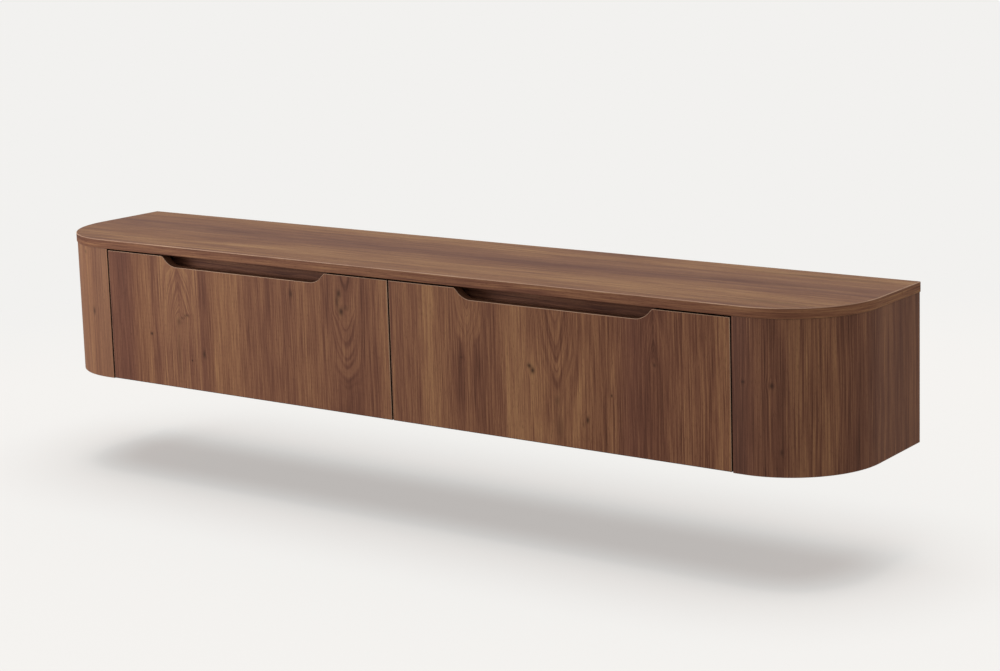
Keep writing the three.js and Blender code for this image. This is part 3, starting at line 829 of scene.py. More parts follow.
def carried(
    path: np.ndarray,
    profile: np.ndarray,
    plane: Plane,
    looped: bool,
    zones: list[int],
    cap_zones: tuple[int, int] = (0, 0),
) -> Surface:
    """Carries a profile along a path.

    A point is the path's corner plus the profile's offset times the corner's mitre, at the
    profile's level. A profile with a looped path is open and its two ends are capped over the
    outline; one on an open path is closed on itself and is capped at the path's ends. With a
    zone for every chord of the profile and one more, both are closed and nothing is capped.

    Args:
        path: corners of the path, in the plane's two coordinates.
        profile: offset and level of each point of the profile.
        plane: which axes the coordinates and the level are.
        looped: whether the path is closed.
        zones: the zone of each strip between two points of the profile.
        cap_zones: the zones of the first and last cap.

    Returns:
        The surface, closed.
    """
    count, girth = len(path), len(profile)
    girdled = len(zones) == girth
    flat = path[:, None, :] + mitres(path, looped)[:, None, :] * profile[None, :, :1]
    points = np.empty((count, girth, 3))
    points[..., list(plane.value[:2])] = flat
    points[..., plane.value[2]] = profile[:, 1]

    row, column = np.meshgrid(
        np.arange(count if looped else count - 1), np.arange(len(zones)), indexing="ij"
    )
    rows = np.stack((row, row + 1, row + 1, row), axis=-1).reshape(-1, 4)
    columns = np.stack((column, column, column + 1, column + 1), axis=-1).reshape(-1, 4)
    here, there = rows % count, columns % girth
    faces = (here * girth + there).tolist()
    face_zones = np.tile(zones, len(row))
    measures = [np.stack((
        flat[here, there, 0], flat[here, there, 1], lengths(path)[rows], lengths(profile)[columns],
        profile[there, 1], profile[there, 0],
    ), axis=-1).reshape(-1, 6)]

    if looped and girdled:
        caps = []
    elif looped:
        ring = np.arange(count)
        caps = [(ring, np.zeros(count, int)), (ring[::-1], np.full(count, girth - 1))]
    else:
        ring = np.arange(girth)
        caps = [(np.zeros(girth, int), ring[::-1]), (np.full(girth, count - 1), ring)]
    for here, there in caps:
        faces.append((here * girth + there).tolist())
        zero = np.zeros(len(here))
        measures.append(np.stack((
            flat[here, there, 0], flat[here, there, 1], zero, zero, profile[there, 1], profile[there, 0],
        ), axis=-1))
    if caps:
        face_zones = np.concatenate((face_zones, cap_zones))
    return Surface(points.reshape(-1, 3), faces, face_zones, np.concatenate(measures))


def eased_bar(
    inner: float, outer: float, low: float, high: float, inner_round: float, outer_round: float
) -> np.ndarray:
    """A rectangular section with rounded corners, from its inner low corner anticlockwise.

    Each corner is a quarter circle whose centre stands its radius in from both faces.

    Args:
        inner: least offset.
        outer: greatest offset.
        low: least level.
        high: greatest level.
        inner_round: radius of the two inner corners.
        outer_round: radius of the two outer corners.

    Returns:
        Offset and level of each point, as many for each corner.
    """
    corners = (
        ((inner + inner_round, low + inner_round), inner_round, 2),
        ((outer - outer_round, low + outer_round), outer_round, 3),
        ((outer - outer_round, high - outer_round), outer_round, 4),
        ((inner + inner_round, high - inner_round), inner_round, 5),
    )
    return np.concatenate([
        arc(centre, radius, turn * RIGHT_ANGLE, (turn + 1) * RIGHT_ANGLE, EASE_STEPS)
        for centre, radius, turn in corners
    ])


def band_zones(corner: int) -> list[int]:
    """Zones of an eased bar's chords: one corner is the arris with a painted highlight, zone 1, and the
    rest zone 0.

    Args:
        corner: number of that corner, 1 for the outer low and 2 for the outer high one.

    Returns:
        A zone for each chord.
    """
    side = [0] * (EASE_STEPS + 1)
    return side * corner + [1] * EASE_STEPS + [0] + side * (3 - corner)


def eased_edge(low: float, high: float, ease: float) -> np.ndarray:
    """The edge of a board: a quarter circle at each arris and a straight stretch between.

    Args:
        low: level of the lower face.
        high: level of the upper face.
        ease: radius of both arrises.

    Returns:
        Offset and level of each point, from the lower face to the upper.
    """
    return np.concatenate((
        arc((-ease, low + ease), ease, -RIGHT_ANGLE, 0.0, EASE_STEPS),
        arc((-ease, high - ease), ease, 0.0, RIGHT_ANGLE, EASE_STEPS),
    ))


@dataclass(frozen=True)
class Piece:
    """One finished piece: its name, body, slot, coverings and the model's nodes it stands for."""

    name: str
    slot: str
    skins: tuple[Skin, ...]
    body: str = "root"
    stands_for: tuple[str, ...] = ()

    def put(self, surface: Surface) -> None:
        """Makes the piece from a surface and fastens it to its body.

        Args:
            surface: the piece's surface.
        """
        mesh = bpy.data.meshes.new(self.name)
        mesh.from_pydata(surface.points.tolist(), [], surface.faces)
        zones = np.asarray(surface.zones, dtype=np.int32)
        corner_zones = np.repeat(zones, [len(face) for face in surface.faces])
        unrolled = np.empty((len(corner_zones), 2))
        for number, skin in enumerate(self.skins):
            held = corner_zones == number
            unrolled[held] = surface.measures[held][:, list(skin.lay.value)] - skin.origin
            mesh.materials.append(skin.material)
        mesh.uv_layers.new(name=VENEER_UV).uv.foreach_set("vector", unrolled.ravel())
        mesh.polygons.foreach_set("material_index", zones)
        shell = bmesh.new()
        shell.from_mesh(mesh)
        bmesh.ops.remove_doubles(shell, verts=shell.verts, dist=MERGE_REACH)
        bmesh.ops.recalc_face_normals(shell, faces=shell.faces)
        shell.to_mesh(mesh)
        shell.free()
        self.fasten(mesh, SHARP_ANGLE)

    def fasten(self, mesh: bpy.types.Mesh, sharp: float, rounding: float = 0.0) -> None:
        """Gives a mesh smooth faces between sharp edges, its object and its body.

        Args:
            mesh: the piece's mesh.
            sharp: angle past which an edge is sharp.
            rounding: width of the bevel on sharp edges, or none.
        """
        mesh.polygons.foreach_set("use_smooth", np.ones(len(mesh.polygons), dtype=bool))
        mesh.set_sharp_from_angle(angle=sharp)
        made = bpy.data.objects.new(self.name, mesh)
        bpy.context.scene.collection.objects.link(made)
        if rounding:
            bevel = made.modifiers.new("rounded arrises", "BEVEL")
            bevel.width, bevel.segments = rounding, BEVEL_STEPS
            bevel.limit_method, bevel.angle_limit = "ANGLE", sharp
        made.modifiers.new("even shading", "WEIGHTED_NORMAL").keep_sharp = True
        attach(made, self.body)
        if self.stands_for:
            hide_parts(*self.stands_for)
        LOG.info("%s rides on %s", self.name, self.body)


@dataclass
class TopPanel:
    """Top board with two round front corners, face veneers lengthwise and an edge band."""

    band: float = 1.2 * MM
    arris: float = 1.3 * MM
    corner: float = 166 * MM
    corner_steps: int = 48

    def outline(self, left: float, right: float, front: float, rear: float) -> np.ndarray:
        """Runs from the rear left corner round the front to the rear right corner.

        Args:
            left: lowest X of the board.
            right: highest X.
            front: lowest Y.
            rear: highest Y.

        Returns:
            The corners, with both front corners as quarter circles.
        """
        radius, steps, bend = self.corner, self.corner_steps, front + self.corner
        return np.concatenate((
            [[left, rear]],
            arc((left + radius, bend), radius, 2 * RIGHT_ANGLE, 3 * RIGHT_ANGLE, steps),
            arc((right - radius, bend), radius, 3 * RIGHT_ANGLE, 4 * RIGHT_ANGLE, steps),
            [[right, rear]],
        ))

    def build(self, face: Material, edge: Material, arris: Material, core: Material) -> None:
        """Makes the board and its edge band.

        Args:
            face: veneer of the upper and lower face.
            edge: veneer of the edge band.
            arris: the band's upper arris, pale as a painted highlight.
            core: the board's core, bare on the rear edge.
        """
        low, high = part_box("top_panel")
        path = self.outline(low.x, high.x, low.y, high.y)
        board = self.outline(low.x + self.band, high.x - self.band, low.y + self.band, high.y)
        board[1:-1] = path[1:-1] + mitres(path, False)[1:-1] * -self.band
        profile = np.array([(0.0, low.z), (0.0, high.z)])
        skins = (Skin(face, Lay.FIRST_ALONG, (low.y, low.x)), Skin(core, Lay.EDGE))
        Piece("top_board", "walnut_top", skins, stands_for=("top_panel",)).put(
            carried(board, profile, Plane.LEVEL, True, [1])
        )
        profile = eased_bar(-self.band, 0.0, low.z, high.z, GLUED_ARRIS, self.arris)
        skins = (Skin(edge, Lay.EDGE), Skin(arris, Lay.EDGE))
        Piece("top_edge_band", "walnut_top", skins, stands_for=("top_panel",)).put(
            carried(path, profile, Plane.LEVEL, False, band_zones(2))
        )


@dataclass
class EndCasing:
    """Bent end of the case: front lip, round corner and side in one moulded shell."""

    side: Side
    thickness: float = 18 * MM
    lip: float = 18.5 * MM
    arris: float = 0.5 * MM
    radius: float = 164.5 * MM
    bend_steps: int = 48

    @property
    def length(self) -> float:
        """Length of the outer face from the lip's edge to the wall."""
        low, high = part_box(f"{self.side.word}_end_casing")
        return self.lip + self.radius * RIGHT_ANGLE + (high.y - low.y - self.radius)

    def path(self) -> np.ndarray:
        """Runs along the outer face from the lip's edge round the bend to the wall.

        Returns:
            The corners, seen from above.
        """
        low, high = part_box(f"{self.side.word}_end_casing")
        outer = high.x if self.side is Side.RIGHT else -low.x
        bend = (outer - self.radius, low.y + self.radius)
        right = np.concatenate((
            [[bend[0] - self.lip, low.y]],
            arc(bend, self.radius, -RIGHT_ANGLE, 0.0, self.bend_steps),
            [[outer, high.y]],
        ))
        return right * (self.side.value, 1)

    def build(self, face: Material, rim: Material, edge: Material) -> None:
        """Makes the casing.

        Args:
            face: veneer of the outer and inner face.
            rim: the lamination's bare edge, above, below and at the wall.
            edge: veneer of the lip's edge beside the flap, nearly black as painted shade for the gap.
        """
        node = f"{self.side.word}_end_casing"
        low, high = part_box(node)
        section = eased_bar(-self.thickness, 0.0, low.z, high.z, self.arris, self.arris)
        section[:, 0] *= self.side.value
        chords = np.roll(section, -1, axis=0) - section
        zones = np.where(np.abs(chords[:, 1]) > self.thickness, 0, 1).tolist()
        skins = (Skin(face, Lay.WRAPPED, (0.0, low.z)), Skin(rim, Lay.RIM), Skin(edge, Lay.RIM))
        Piece(f"{self.side.word}_bent_casing", "walnut", skins, stands_for=(node,)).put(
            carried(self.path(), section, Plane.LEVEL, False, zones, (2, 1))
        )


@dataclass
class Flap:
    """Drop-down door with a wide finger notch in its top edge."""

    side: Side
    band: float = 1.0 * MM
    arris: float = 0.9 * MM
    notch_width: float = 413 * MM
    notch_depth: float = 19.5 * MM
    notch_slope: float = math.pi / 4
    foot_radius: float = 40 * MM
    brow_radius: float = 8 * MM
    arc_steps: int = 12

    def outline(self, low: Vector, high: Vector) -> np.ndarray:
        """Runs anticlockwise from the lower left corner, in X and Z.

        Args:
            low: lowest corner of the flap's box.
            high: highest corner of the flap's box.

        Returns:
            The corners, with the notch's brows and feet as arcs.
        """
        middle = (low.x + high.x) / 2
        turn = math.tan(self.notch_slope / 2)
        brow = self.notch_width / 2 + self.brow_radius * turn
        run = self.notch_depth / math.tan(self.notch_slope)
        foot = self.notch_width / 2 - run - self.foot_radius * turn
        brow_height = high.z - self.brow_radius
        foot_height = high.z - self.notch_depth + self.foot_radius
        quarter, slope, steps = RIGHT_ANGLE, self.notch_slope, self.arc_steps
        return np.concatenate((
            [[low.x, low.z], [high.x, low.z], [high.x, high.z]],
            arc((middle + brow, brow_height), self.brow_radius, quarter, quarter + slope, steps),
            arc((middle + foot, foot_height), self.foot_radius, slope - quarter, -quarter, steps),
            arc((middle - foot, foot_height), self.foot_radius, -quarter, -quarter - slope, steps),
            arc((middle - brow, brow_height), self.brow_radius, quarter - slope, quarter, steps),
            [[low.x, high.z]],
        ))

    def build(
        self, face: Material, back: Material, edge: Material, grip: Material, arris: Material
    ) -> None:
        """Makes the door's veneered board and the band round its edges.

        The outline's first stretch is the lower edge, whose arris gets no painted highlight. The notch
        runs from the fourth stretch to the last but two.

        Args:
            face: veneer of the front.
            back: veneer of the inside.
            edge: veneer of the band, nearly black as painted shade for the gaps round the flap.
            grip: veneer of the band in the notch, darkened as painted shade.
            arris: the band's front arris, pale as a painted highlight.
        """
        node = f"{self.side.word}_flap"
        low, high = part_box(node)
        path = self.outline(low, high)
        profile = np.array([(-self.band, low.y), (-self.band, high.y)])
        sheets = (Skin(sheet, Lay.SECOND_ALONG, (low.x, low.z)) for sheet in (face, back))
        Piece(f"{node}_board", "walnut", (Skin(edge, Lay.EDGE), *sheets), node, (node,)).put(
            carried(path, profile, Plane.UPRIGHT, True, [0], (1, 2))
        )
        profile = eased_bar(-self.band, 0.0, low.y, high.y, GLUED_ARRIS, self.arris)
        skins = (Skin(edge, Lay.EDGE), Skin(arris, Lay.EDGE), Skin(grip, Lay.EDGE))
        surface = carried(path, profile, Plane.UPRIGHT, True, band_zones(1))
        stretches = surface.zones.reshape(len(path), -1)
        notch = stretches[3:-2]
        # The lower edge's arris gets no painted highlight.
        stretches[0] = 0
        # The notch's band gets the grip veneer, darkened as painted shade.
        notch[notch == 0] = 2
        Piece(f"{node}_edge_band", "walnut", skins, node, (node,)).put(surface)


@dataclass
class InnerBoards:
    """Upright boards and finger rails inside the case, each with eased arrises."""

    arris: float = 0.6 * MM

    def board(self, node: str, plane: Plane, face: Material, edge: Material, lay: Lay) -> None:
        """Makes one rectangular board in its node's place.

        Args:
            node: the model's node.
            plane: the plane of the board's face.
            face: veneer of the two faces.
            edge: veneer of the four edges.
            lay: how the veneer lies on the faces.
        """
        low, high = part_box(node)
        first, second, level = plane.value
        path = np.array([
            (low[first], low[second]), (high[first], low[second]),
            (high[first], high[second]), (low[first], high[second]),
        ])
        profile = eased_edge(low[level], high[level], self.arris)
        corner = np.array((low[first], low[second]))
        origin = tuple(corner[list(lay.value)])
        skins = (Skin(face, lay, origin), Skin(edge, Lay.EDGE))
        Piece(f"{node}_board", "dark_walnut", skins, "root", (node,)).put(
            carried(path, profile, plane, True, [1] * (len(profile) - 1))
        )

    def build(self, face: Material, rail: Material, edge: Material) -> None:
        """Makes both partitions, the divider and both finger rails.

        Args:
            face: veneer of the partitions and the divider.
            rail: veneer of the finger rails.
            edge: veneer of all their edges.
        """
        for node in ("left_partition", "right_partition", "centre_divider"):
            self.board(node, Plane.END, face, edge, Lay.SECOND_ALONG)
        for node in ("left_finger_rail", "right_finger_rail"):
            self.board(node, Plane.UPRIGHT, rail, edge, Lay.FIRST_ALONG)


@dataclass
class Fittings:
    """Hinges, stays, catches, outlets, hangers and the wall rail, with softened stamped edges."""

    edge_round: float = 0.22 * MM
    edge_angle: float = math.radians(50)
    flat_angle: float = math.radians(1)
    merge_reach: float = 0.01 * MM

    def soften(self, node: str, material: Material, slot: str, body: str) -> None:
        """Makes a finished copy of a fitting, with rounded arrises.

        Args:
            node: the model's node.
            material: the fitting's material.
            slot: the record's material slot.
            body: the body it moves with.
        """
        mesh = bpy.data.objects[node].data.copy()
        mesh.name = f"{node}_finished"
        shell = bmesh.new()
        shell.from_mesh(mesh)
        bmesh.ops.remove_doubles(shell, verts=shell.verts, dist=self.merge_reach)
        bmesh.ops.dissolve_limit(
            shell, angle_limit=self.flat_angle, verts=shell.verts, edges=shell.edges,
            use_dissolve_boundaries=False,
        )
        shell.to_mesh(mesh)
        shell.free()
        mesh.materials.clear()
        mesh.materials.append(material)
        mesh.polygons.foreach_set("material_index", np.zeros(len(mesh.polygons), dtype=np.int32))
        piece = Piece(mesh.name, slot, (Skin(material),), body, (node,))
        piece.fasten(mesh, self.edge_angle, self.edge_round)

    def build(self, frame: dict, materials: dict[str, Material]) -> None:
        """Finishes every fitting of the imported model.

        Args:
            materials: the material of each slot that only fittings have.
        """
        slots = {part["node"]: part["material_slot"] for part in frame["record"]["subparts"]}
        for body, nodes in frame["record"]["behaviour"]["bodies"].items():
            for node in nodes:
                if slots[node] in materials:
                    self.soften(node, materials[slots[node]], slots[node], body)


@dataclass
class Screws:
    """Small countersunk screws with a cross recess, one in every hole of the fittings."""

    head_radius: float = 3.2 * MM
    shank_radius: float = 1.7 * MM
    head_depth: float = 0.7 * MM
    length: float = 1.4 * MM
    ease: float = 0.12 * MM
    recess_depth: float = 0.55 * MM
    recess_width: float = 0.9 * MM
    recess_reach: float = 1.9 * MM
    edge_distance: float = 9 * MM
    leaf_half: float = 16 * MM
    leaf_thickness: float = 1.5 * MM
    plate_thickness: float = 2.5 * MM
    foot_thickness: float = 2 * MM
    catch_face: float = 7 * MM
    strike_inset: float = 16.5 * MM
    strike_half: float = 12.5 * MM
    sides: int = 40
    face_rings: int = 14
    eye_share: float = 0.15
    soft_share: float = 0.2
    last_turn: float = 0.7

    def head(self) -> tuple[np.ndarray, list[list[int]]]:
        """One screw about the origin, its axis up and its head's top at level zero.

        A point is the radius times the cosine and sine of its angle, at the profile's height,
        less the recess's depth inside a cross of two bars.

        Returns:
            Points and faces.
        """
        wide, narrow = self.head_radius, self.shank_radius
        face = np.linspace(self.eye_share * narrow, wide - self.ease, self.face_rings)
        radii = np.append(face, [wide, wide, narrow, narrow])
        below = [-self.ease, -self.head_depth, -self.head_depth, -self.length]
        heights = np.append(np.zeros(self.face_rings), below)
        angles = np.arange(self.sides) * 2 * math.pi / self.sides
        x, y = radii[:, None] * np.cos(angles), radii[:, None] * np.sin(angles)
        soft = self.soft_share * self.recess_width
        across = np.clip((self.recess_width / 2 - np.abs((x, y))) / soft + 0.5, 0, 1)
        along = np.clip((self.recess_reach - np.abs((y, x))) / soft + 0.5, 0, 1)
        cross = np.max(across * along, axis=0) * (heights[:, None] == 0)
        z = heights[:, None] - self.recess_depth * cross
        ring, turn = np.meshgrid(np.arange(len(radii) - 1), np.arange(self.sides), indexing="ij")
        after = (turn + 1) % self.sides
        faces = np.stack((
            ring * self.sides + turn, (ring + 1) * self.sides + turn,
            (ring + 1) * self.sides + after, ring * self.sides + after,
        ), axis=-1).reshape(-1, 4).tolist()
        edge = np.arange(self.sides)
        faces += [edge.tolist(), (edge[::-1] + (len(radii) - 1) * self.sides).tolist()]
        return np.stack((x, y, z), axis=-1).reshape(-1, 3), faces

    def places(self) -> dict[str, list[tuple[tuple[float, ...], tuple[int, int, int]]]]:
        """Finds every screw hole from the fittings' boxes.

        Returns:
            For each body, the middle of each screw's head and the way the head faces.
        """
        found = {"root": [], "left_flap": [], "right_flap": []}
        for side in Side:
            flap, out = f"{side.word}_flap", side.value
            for number in (1, 2):
                low, high, _, _ = self.fitting(side, f"hinge_{number}_carcass_leaf")
                x = ((low.x + high.x) / 2 - self.leaf_half, (low.x + high.x) / 2 + self.leaf_half)
                y, z = high.y - self.edge_distance, high.z - self.leaf_thickness
                found["root"] += [((spot, y, z), (0, 0, -1)) for spot in x]
                low, high, _, _ = self.fitting(side, f"hinge_{number}_flap_leaf")
                y, z = low.y + self.leaf_thickness, high.z - self.edge_distance
                found[flap] += [((spot, y, z), (0, 1, 0)) for spot in x]
            low, high, (_, outer), rows = self.fitting(side, "stay_plate")
            x, y = outer - out * self.plate_thickness, (low.y + high.y) / 2
            found["root"] += [((x, y, z), (-out, 0, 0)) for z in rows]
            low, _, (inner, _), rows = self.fitting(side, "stay_foot")
            x, y = inner + out * self.edge_distance, low.y + self.foot_thickness
            found[flap] += [((x, y, z), (0, 1, 0)) for z in rows]
            _, high, (inner, _), rows = self.fitting(side, "catch_housing")
            x, y = inner + out * self.catch_face, high.y - self.edge_distance
            found["root"] += [((x, y, z), (out, 0, 0)) for z in rows]
            low, high, (inner, _), _ = self.fitting(side, "strike_plate")
            x, y = inner + out * self.strike_inset, low.y + self.leaf_thickness
            rows = ((low.z + high.z) / 2 - self.strike_half, (low.z + high.z) / 2 + self.strike_half)
            found[flap] += [((x, y, z), (0, 1, 0)) for z in rows]
        return found

    def fitting(
        self, side: Side, name: str
    ) -> tuple[Vector, Vector, tuple[float, ...], tuple[float, ...]]:
        """Measures one fitting of a side.

        Args:
            side: the side.
            name: the node's name after the side's.

        Returns:
            Its box's corners, its X towards the middle and the end, and its two screws' heights.
        """
        low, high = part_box(f"{side.word}_{name}")
        ends = (low.x, high.x)[::side.value]
        return low, high, ends, (low.z + self.edge_distance, high.z - self.edge_distance)

    def build(self, steel: Material) -> None:
        """Makes one piece of screws for each body.

        Args:
            steel: the screws' material.
        """
        points, faces = self.head()
        for body, places in self.places().items():
            middles = np.array([middle for middle, _ in places])
            turned = np.array([self.turn(way, number) for number, (_, way) in enumerate(places)])
            placed = np.einsum("sij,pj->spi", turned, points) + middles[:, None, :]
            shifts = range(0, len(points) * len(places), len(points))
            every = [[corner + shift for corner in face] for shift in shifts for face in faces]
            corners = sum(len(face) for face in every)
            surface = Surface(
                placed.reshape(-1, 3), every, np.zeros(len(every), int), np.zeros((corners, 6))
            )
            Piece(f"{body}_small_screws", "zinc_steel", (Skin(steel),), body).put(surface)

    def turn(self, way: tuple[int, int, int], number: int) -> np.ndarray:
        """Gives the matrix that faces a screw one way, each of a body's driven to another angle."""
        facing = Vector(way).to_track_quat("Z", "Y").to_matrix()
        return np.array(facing @ Matrix.Rotation(number * self.last_turn, 3, "Z"))


@dataclass
class Studio:
    """Camera at the photograph's angle, pale floor, plain backdrop and soft lamps."""

    backdrop: str = "#f2f1ef"
    camera_place: tuple[float, float, float] = (2.419550, -3.202399, 0.742325)
    yaw: float = -0.576551
    pitch: float = 0.155741
    roll: float = 0.020746
    lens: float = 76.158
    shift: tuple[float, float] = (-0.14, -0.12)
    floor_drop: float = -0.408
    floor_half: float = 9.0
    floor_colour: str = "#b8a094"
    bounce_colour: str = "#79655b"
    blend_start: float = 1.3
    blend_end: float = 2.4
    blend_least: float = 0.485
    fill: float = 0.68
    sun: float = 0.85
    sun_angle: float = math.radians(14)
    floor_sun: float = 6.4
    floor_sun_colour: str = "#bce9ff"
    floor_sun_angle: float = math.radians(58)
    key_power: float = 30.8
    key_place: tuple[float, float, float] = (-1.9, -1.9, 0.45)
    key_aim: tuple[float, float, float] = (0.0, -0.3, 0.0)
    key_size: float = 1.0

    def camera(self) -> None:
        """Places the camera: its look follows yaw and pitch, then it rolls about its view line."""
        sin_yaw, cos_yaw = math.sin(self.yaw), math.cos(self.yaw)
        sin_pitch, cos_pitch = math.sin(self.pitch), math.cos(self.pitch)
        ahead = Vector((sin_yaw * cos_pitch, cos_yaw * cos_pitch, -sin_pitch))
        right = Vector((cos_yaw, -sin_yaw, 0.0))
        down = ahead.cross(right)
        rolled = math.cos(self.roll) * right + math.sin(self.roll) * down
        dropped = math.cos(self.roll) * down - math.sin(self.roll) * right
        data = bpy.data.cameras.new("camera")
        data.lens = self.lens
        data.shift_x, data.shift_y = self.shift
        made = bpy.data.objects.new("camera", data)
        turned = Matrix((rolled, -dropped, -ahead)).transposed().to_4x4()
        made.matrix_world = Matrix.Translation(self.camera_place) @ turned
        bpy.context.scene.collection.objects.link(made)
        bpy.context.scene.camera = made

    def floor(self) -> None:
        """Lays the floor: a matt sheet near the object, plain backdrop further out and from below."""
        half = self.floor_half
        corners = [(-half, -half), (half, -half), (half, half), (-half, half)]
        mesh = bpy.data.meshes.new("floor")
        mesh.from_pydata([(x, y, self.floor_drop) for x, y in corners], [], [[0, 1, 2, 3]])
        made = bpy.data.objects.new("floor", mesh)
        bpy.context.scene.collection.objects.link(made)
        paper = bpy.data.materials.new("matt paper floor")
        g = Graph(paper)
        seen = g.add("LightPath", out="Is Camera Ray")
        colours = {6: linear(self.bounce_colour), 7: linear(self.floor_colour)}
        tint = g.add("Mix", {0: seen, **colours}, out=2, data_type="RGBA")
        matt = g.add("BsdfDiffuse", {"Color": tint})
        glow = g.add("Emission", {"Color": linear(self.backdrop), "Strength": 1.0})
        away = g.add("VectorMath", {0: g.add("TexCoord", out="Object")}, out="Value", operation="LENGTH")
        far = g.add("MapRange", {0: away, 1: self.blend_start, 2: self.blend_end, 3: self.blend_least},
                    interpolation_type="SMOOTHSTEP")
        far = g.add("Math", {0: far, 1: seen}, operation="MULTIPLY")
        sheet = g.add("MixShader", {0: far, 1: matt, 2: glow})
        below = g.add("NewGeometry", out="Backfacing")
        open_below = g.add("MixShader", {0: below, 1: sheet, 2: g.add("BsdfTransparent")})
        g.add("OutputMaterial", {0: open_below})
        mesh.materials.append(paper)

    def world(self) -> None:
        """Shows the backdrop to the camera, gloss and glass, and gives a plain soft fill otherwise."""
        world = bpy.data.worlds.new("studio")
        bpy.context.scene.world = world
        g = Graph(world)
        path = g.add("LightPath", out="Is Camera Ray")
        rays = path.node.outputs
        shown = g.add("Math", {0: path, 1: rays["Is Glossy Ray"]}, operation="MAXIMUM")
        shown = g.add("Math", {0: shown, 1: rays["Is Transmission Ray"]}, operation="MAXIMUM")
        fill = g.add("Background", {"Color": (1.0, 1.0, 1.0, 1.0), "Strength": self.fill})
        backdrop = g.add("Background", {"Color": linear(self.backdrop), "Strength": 1.0})
        g.add("OutputWorld", {0: g.add("MixShader", {0: shown, 1: fill, 2: backdrop})})

    def lamps(self) -> None:
        """Hangs a soft sun overhead, a cool one for the floor alone and a key lamp at the front left."""
        self.hang("overhead", "SUN", self.sun).data.angle = self.sun_angle
        ceiling = self.hang("ceiling of the floor", "SUN", self.floor_sun)
        ceiling.data.angle = self.floor_sun_angle
        ceiling.data.color = linear(self.floor_sun_colour)[:3]
        self.link(ceiling, "INCLUDE")
        key = self.hang("key", "AREA", self.key_power)
        key.data.size, key.data.shape = self.key_size, "SQUARE"
        key.location = self.key_place
        aim = Vector(self.key_aim) - Vector(self.key_place)
        key.rotation_euler = aim.to_track_quat("-Z", "Y").to_euler()
        self.link(key, "EXCLUDE")

    def hang(self, name: str, kind: str, power: float) -> bpy.types.Object:
        """Makes a lamp that shines straight down.

        Args:
            name: the lamp's name.
            kind: SUN or AREA.
            power: its strength.

        Returns:
            The lamp's object.
        """
        light = bpy.data.lights.new(name, kind)
        light.energy = power
        made = bpy.data.objects.new(name, light)
        bpy.context.scene.collection.objects.link(made)
        return made

    def link(self, lamp: bpy.types.Object, state: str) -> None:
        """Ties a lamp to the floor alone, or to all but the floor.

        Args:
            lamp: the lamp.
            state: INCLUDE or EXCLUDE.
        """
        held = bpy.data.collections.new(f"floor of {lamp.name}")
        held.objects.link(bpy.data.objects["floor"])
        lamp.light_linking.receiver_collection = held
        held.collection_objects[0].light_linking.link_state = state

    def build(self) -> None:
        """Sets up the whole studio and the plain view transform."""
        bpy.context.scene.view_settings.view_transform = "Standard"
        self.camera()
        self.floor()
        self.world()
        self.lamps()


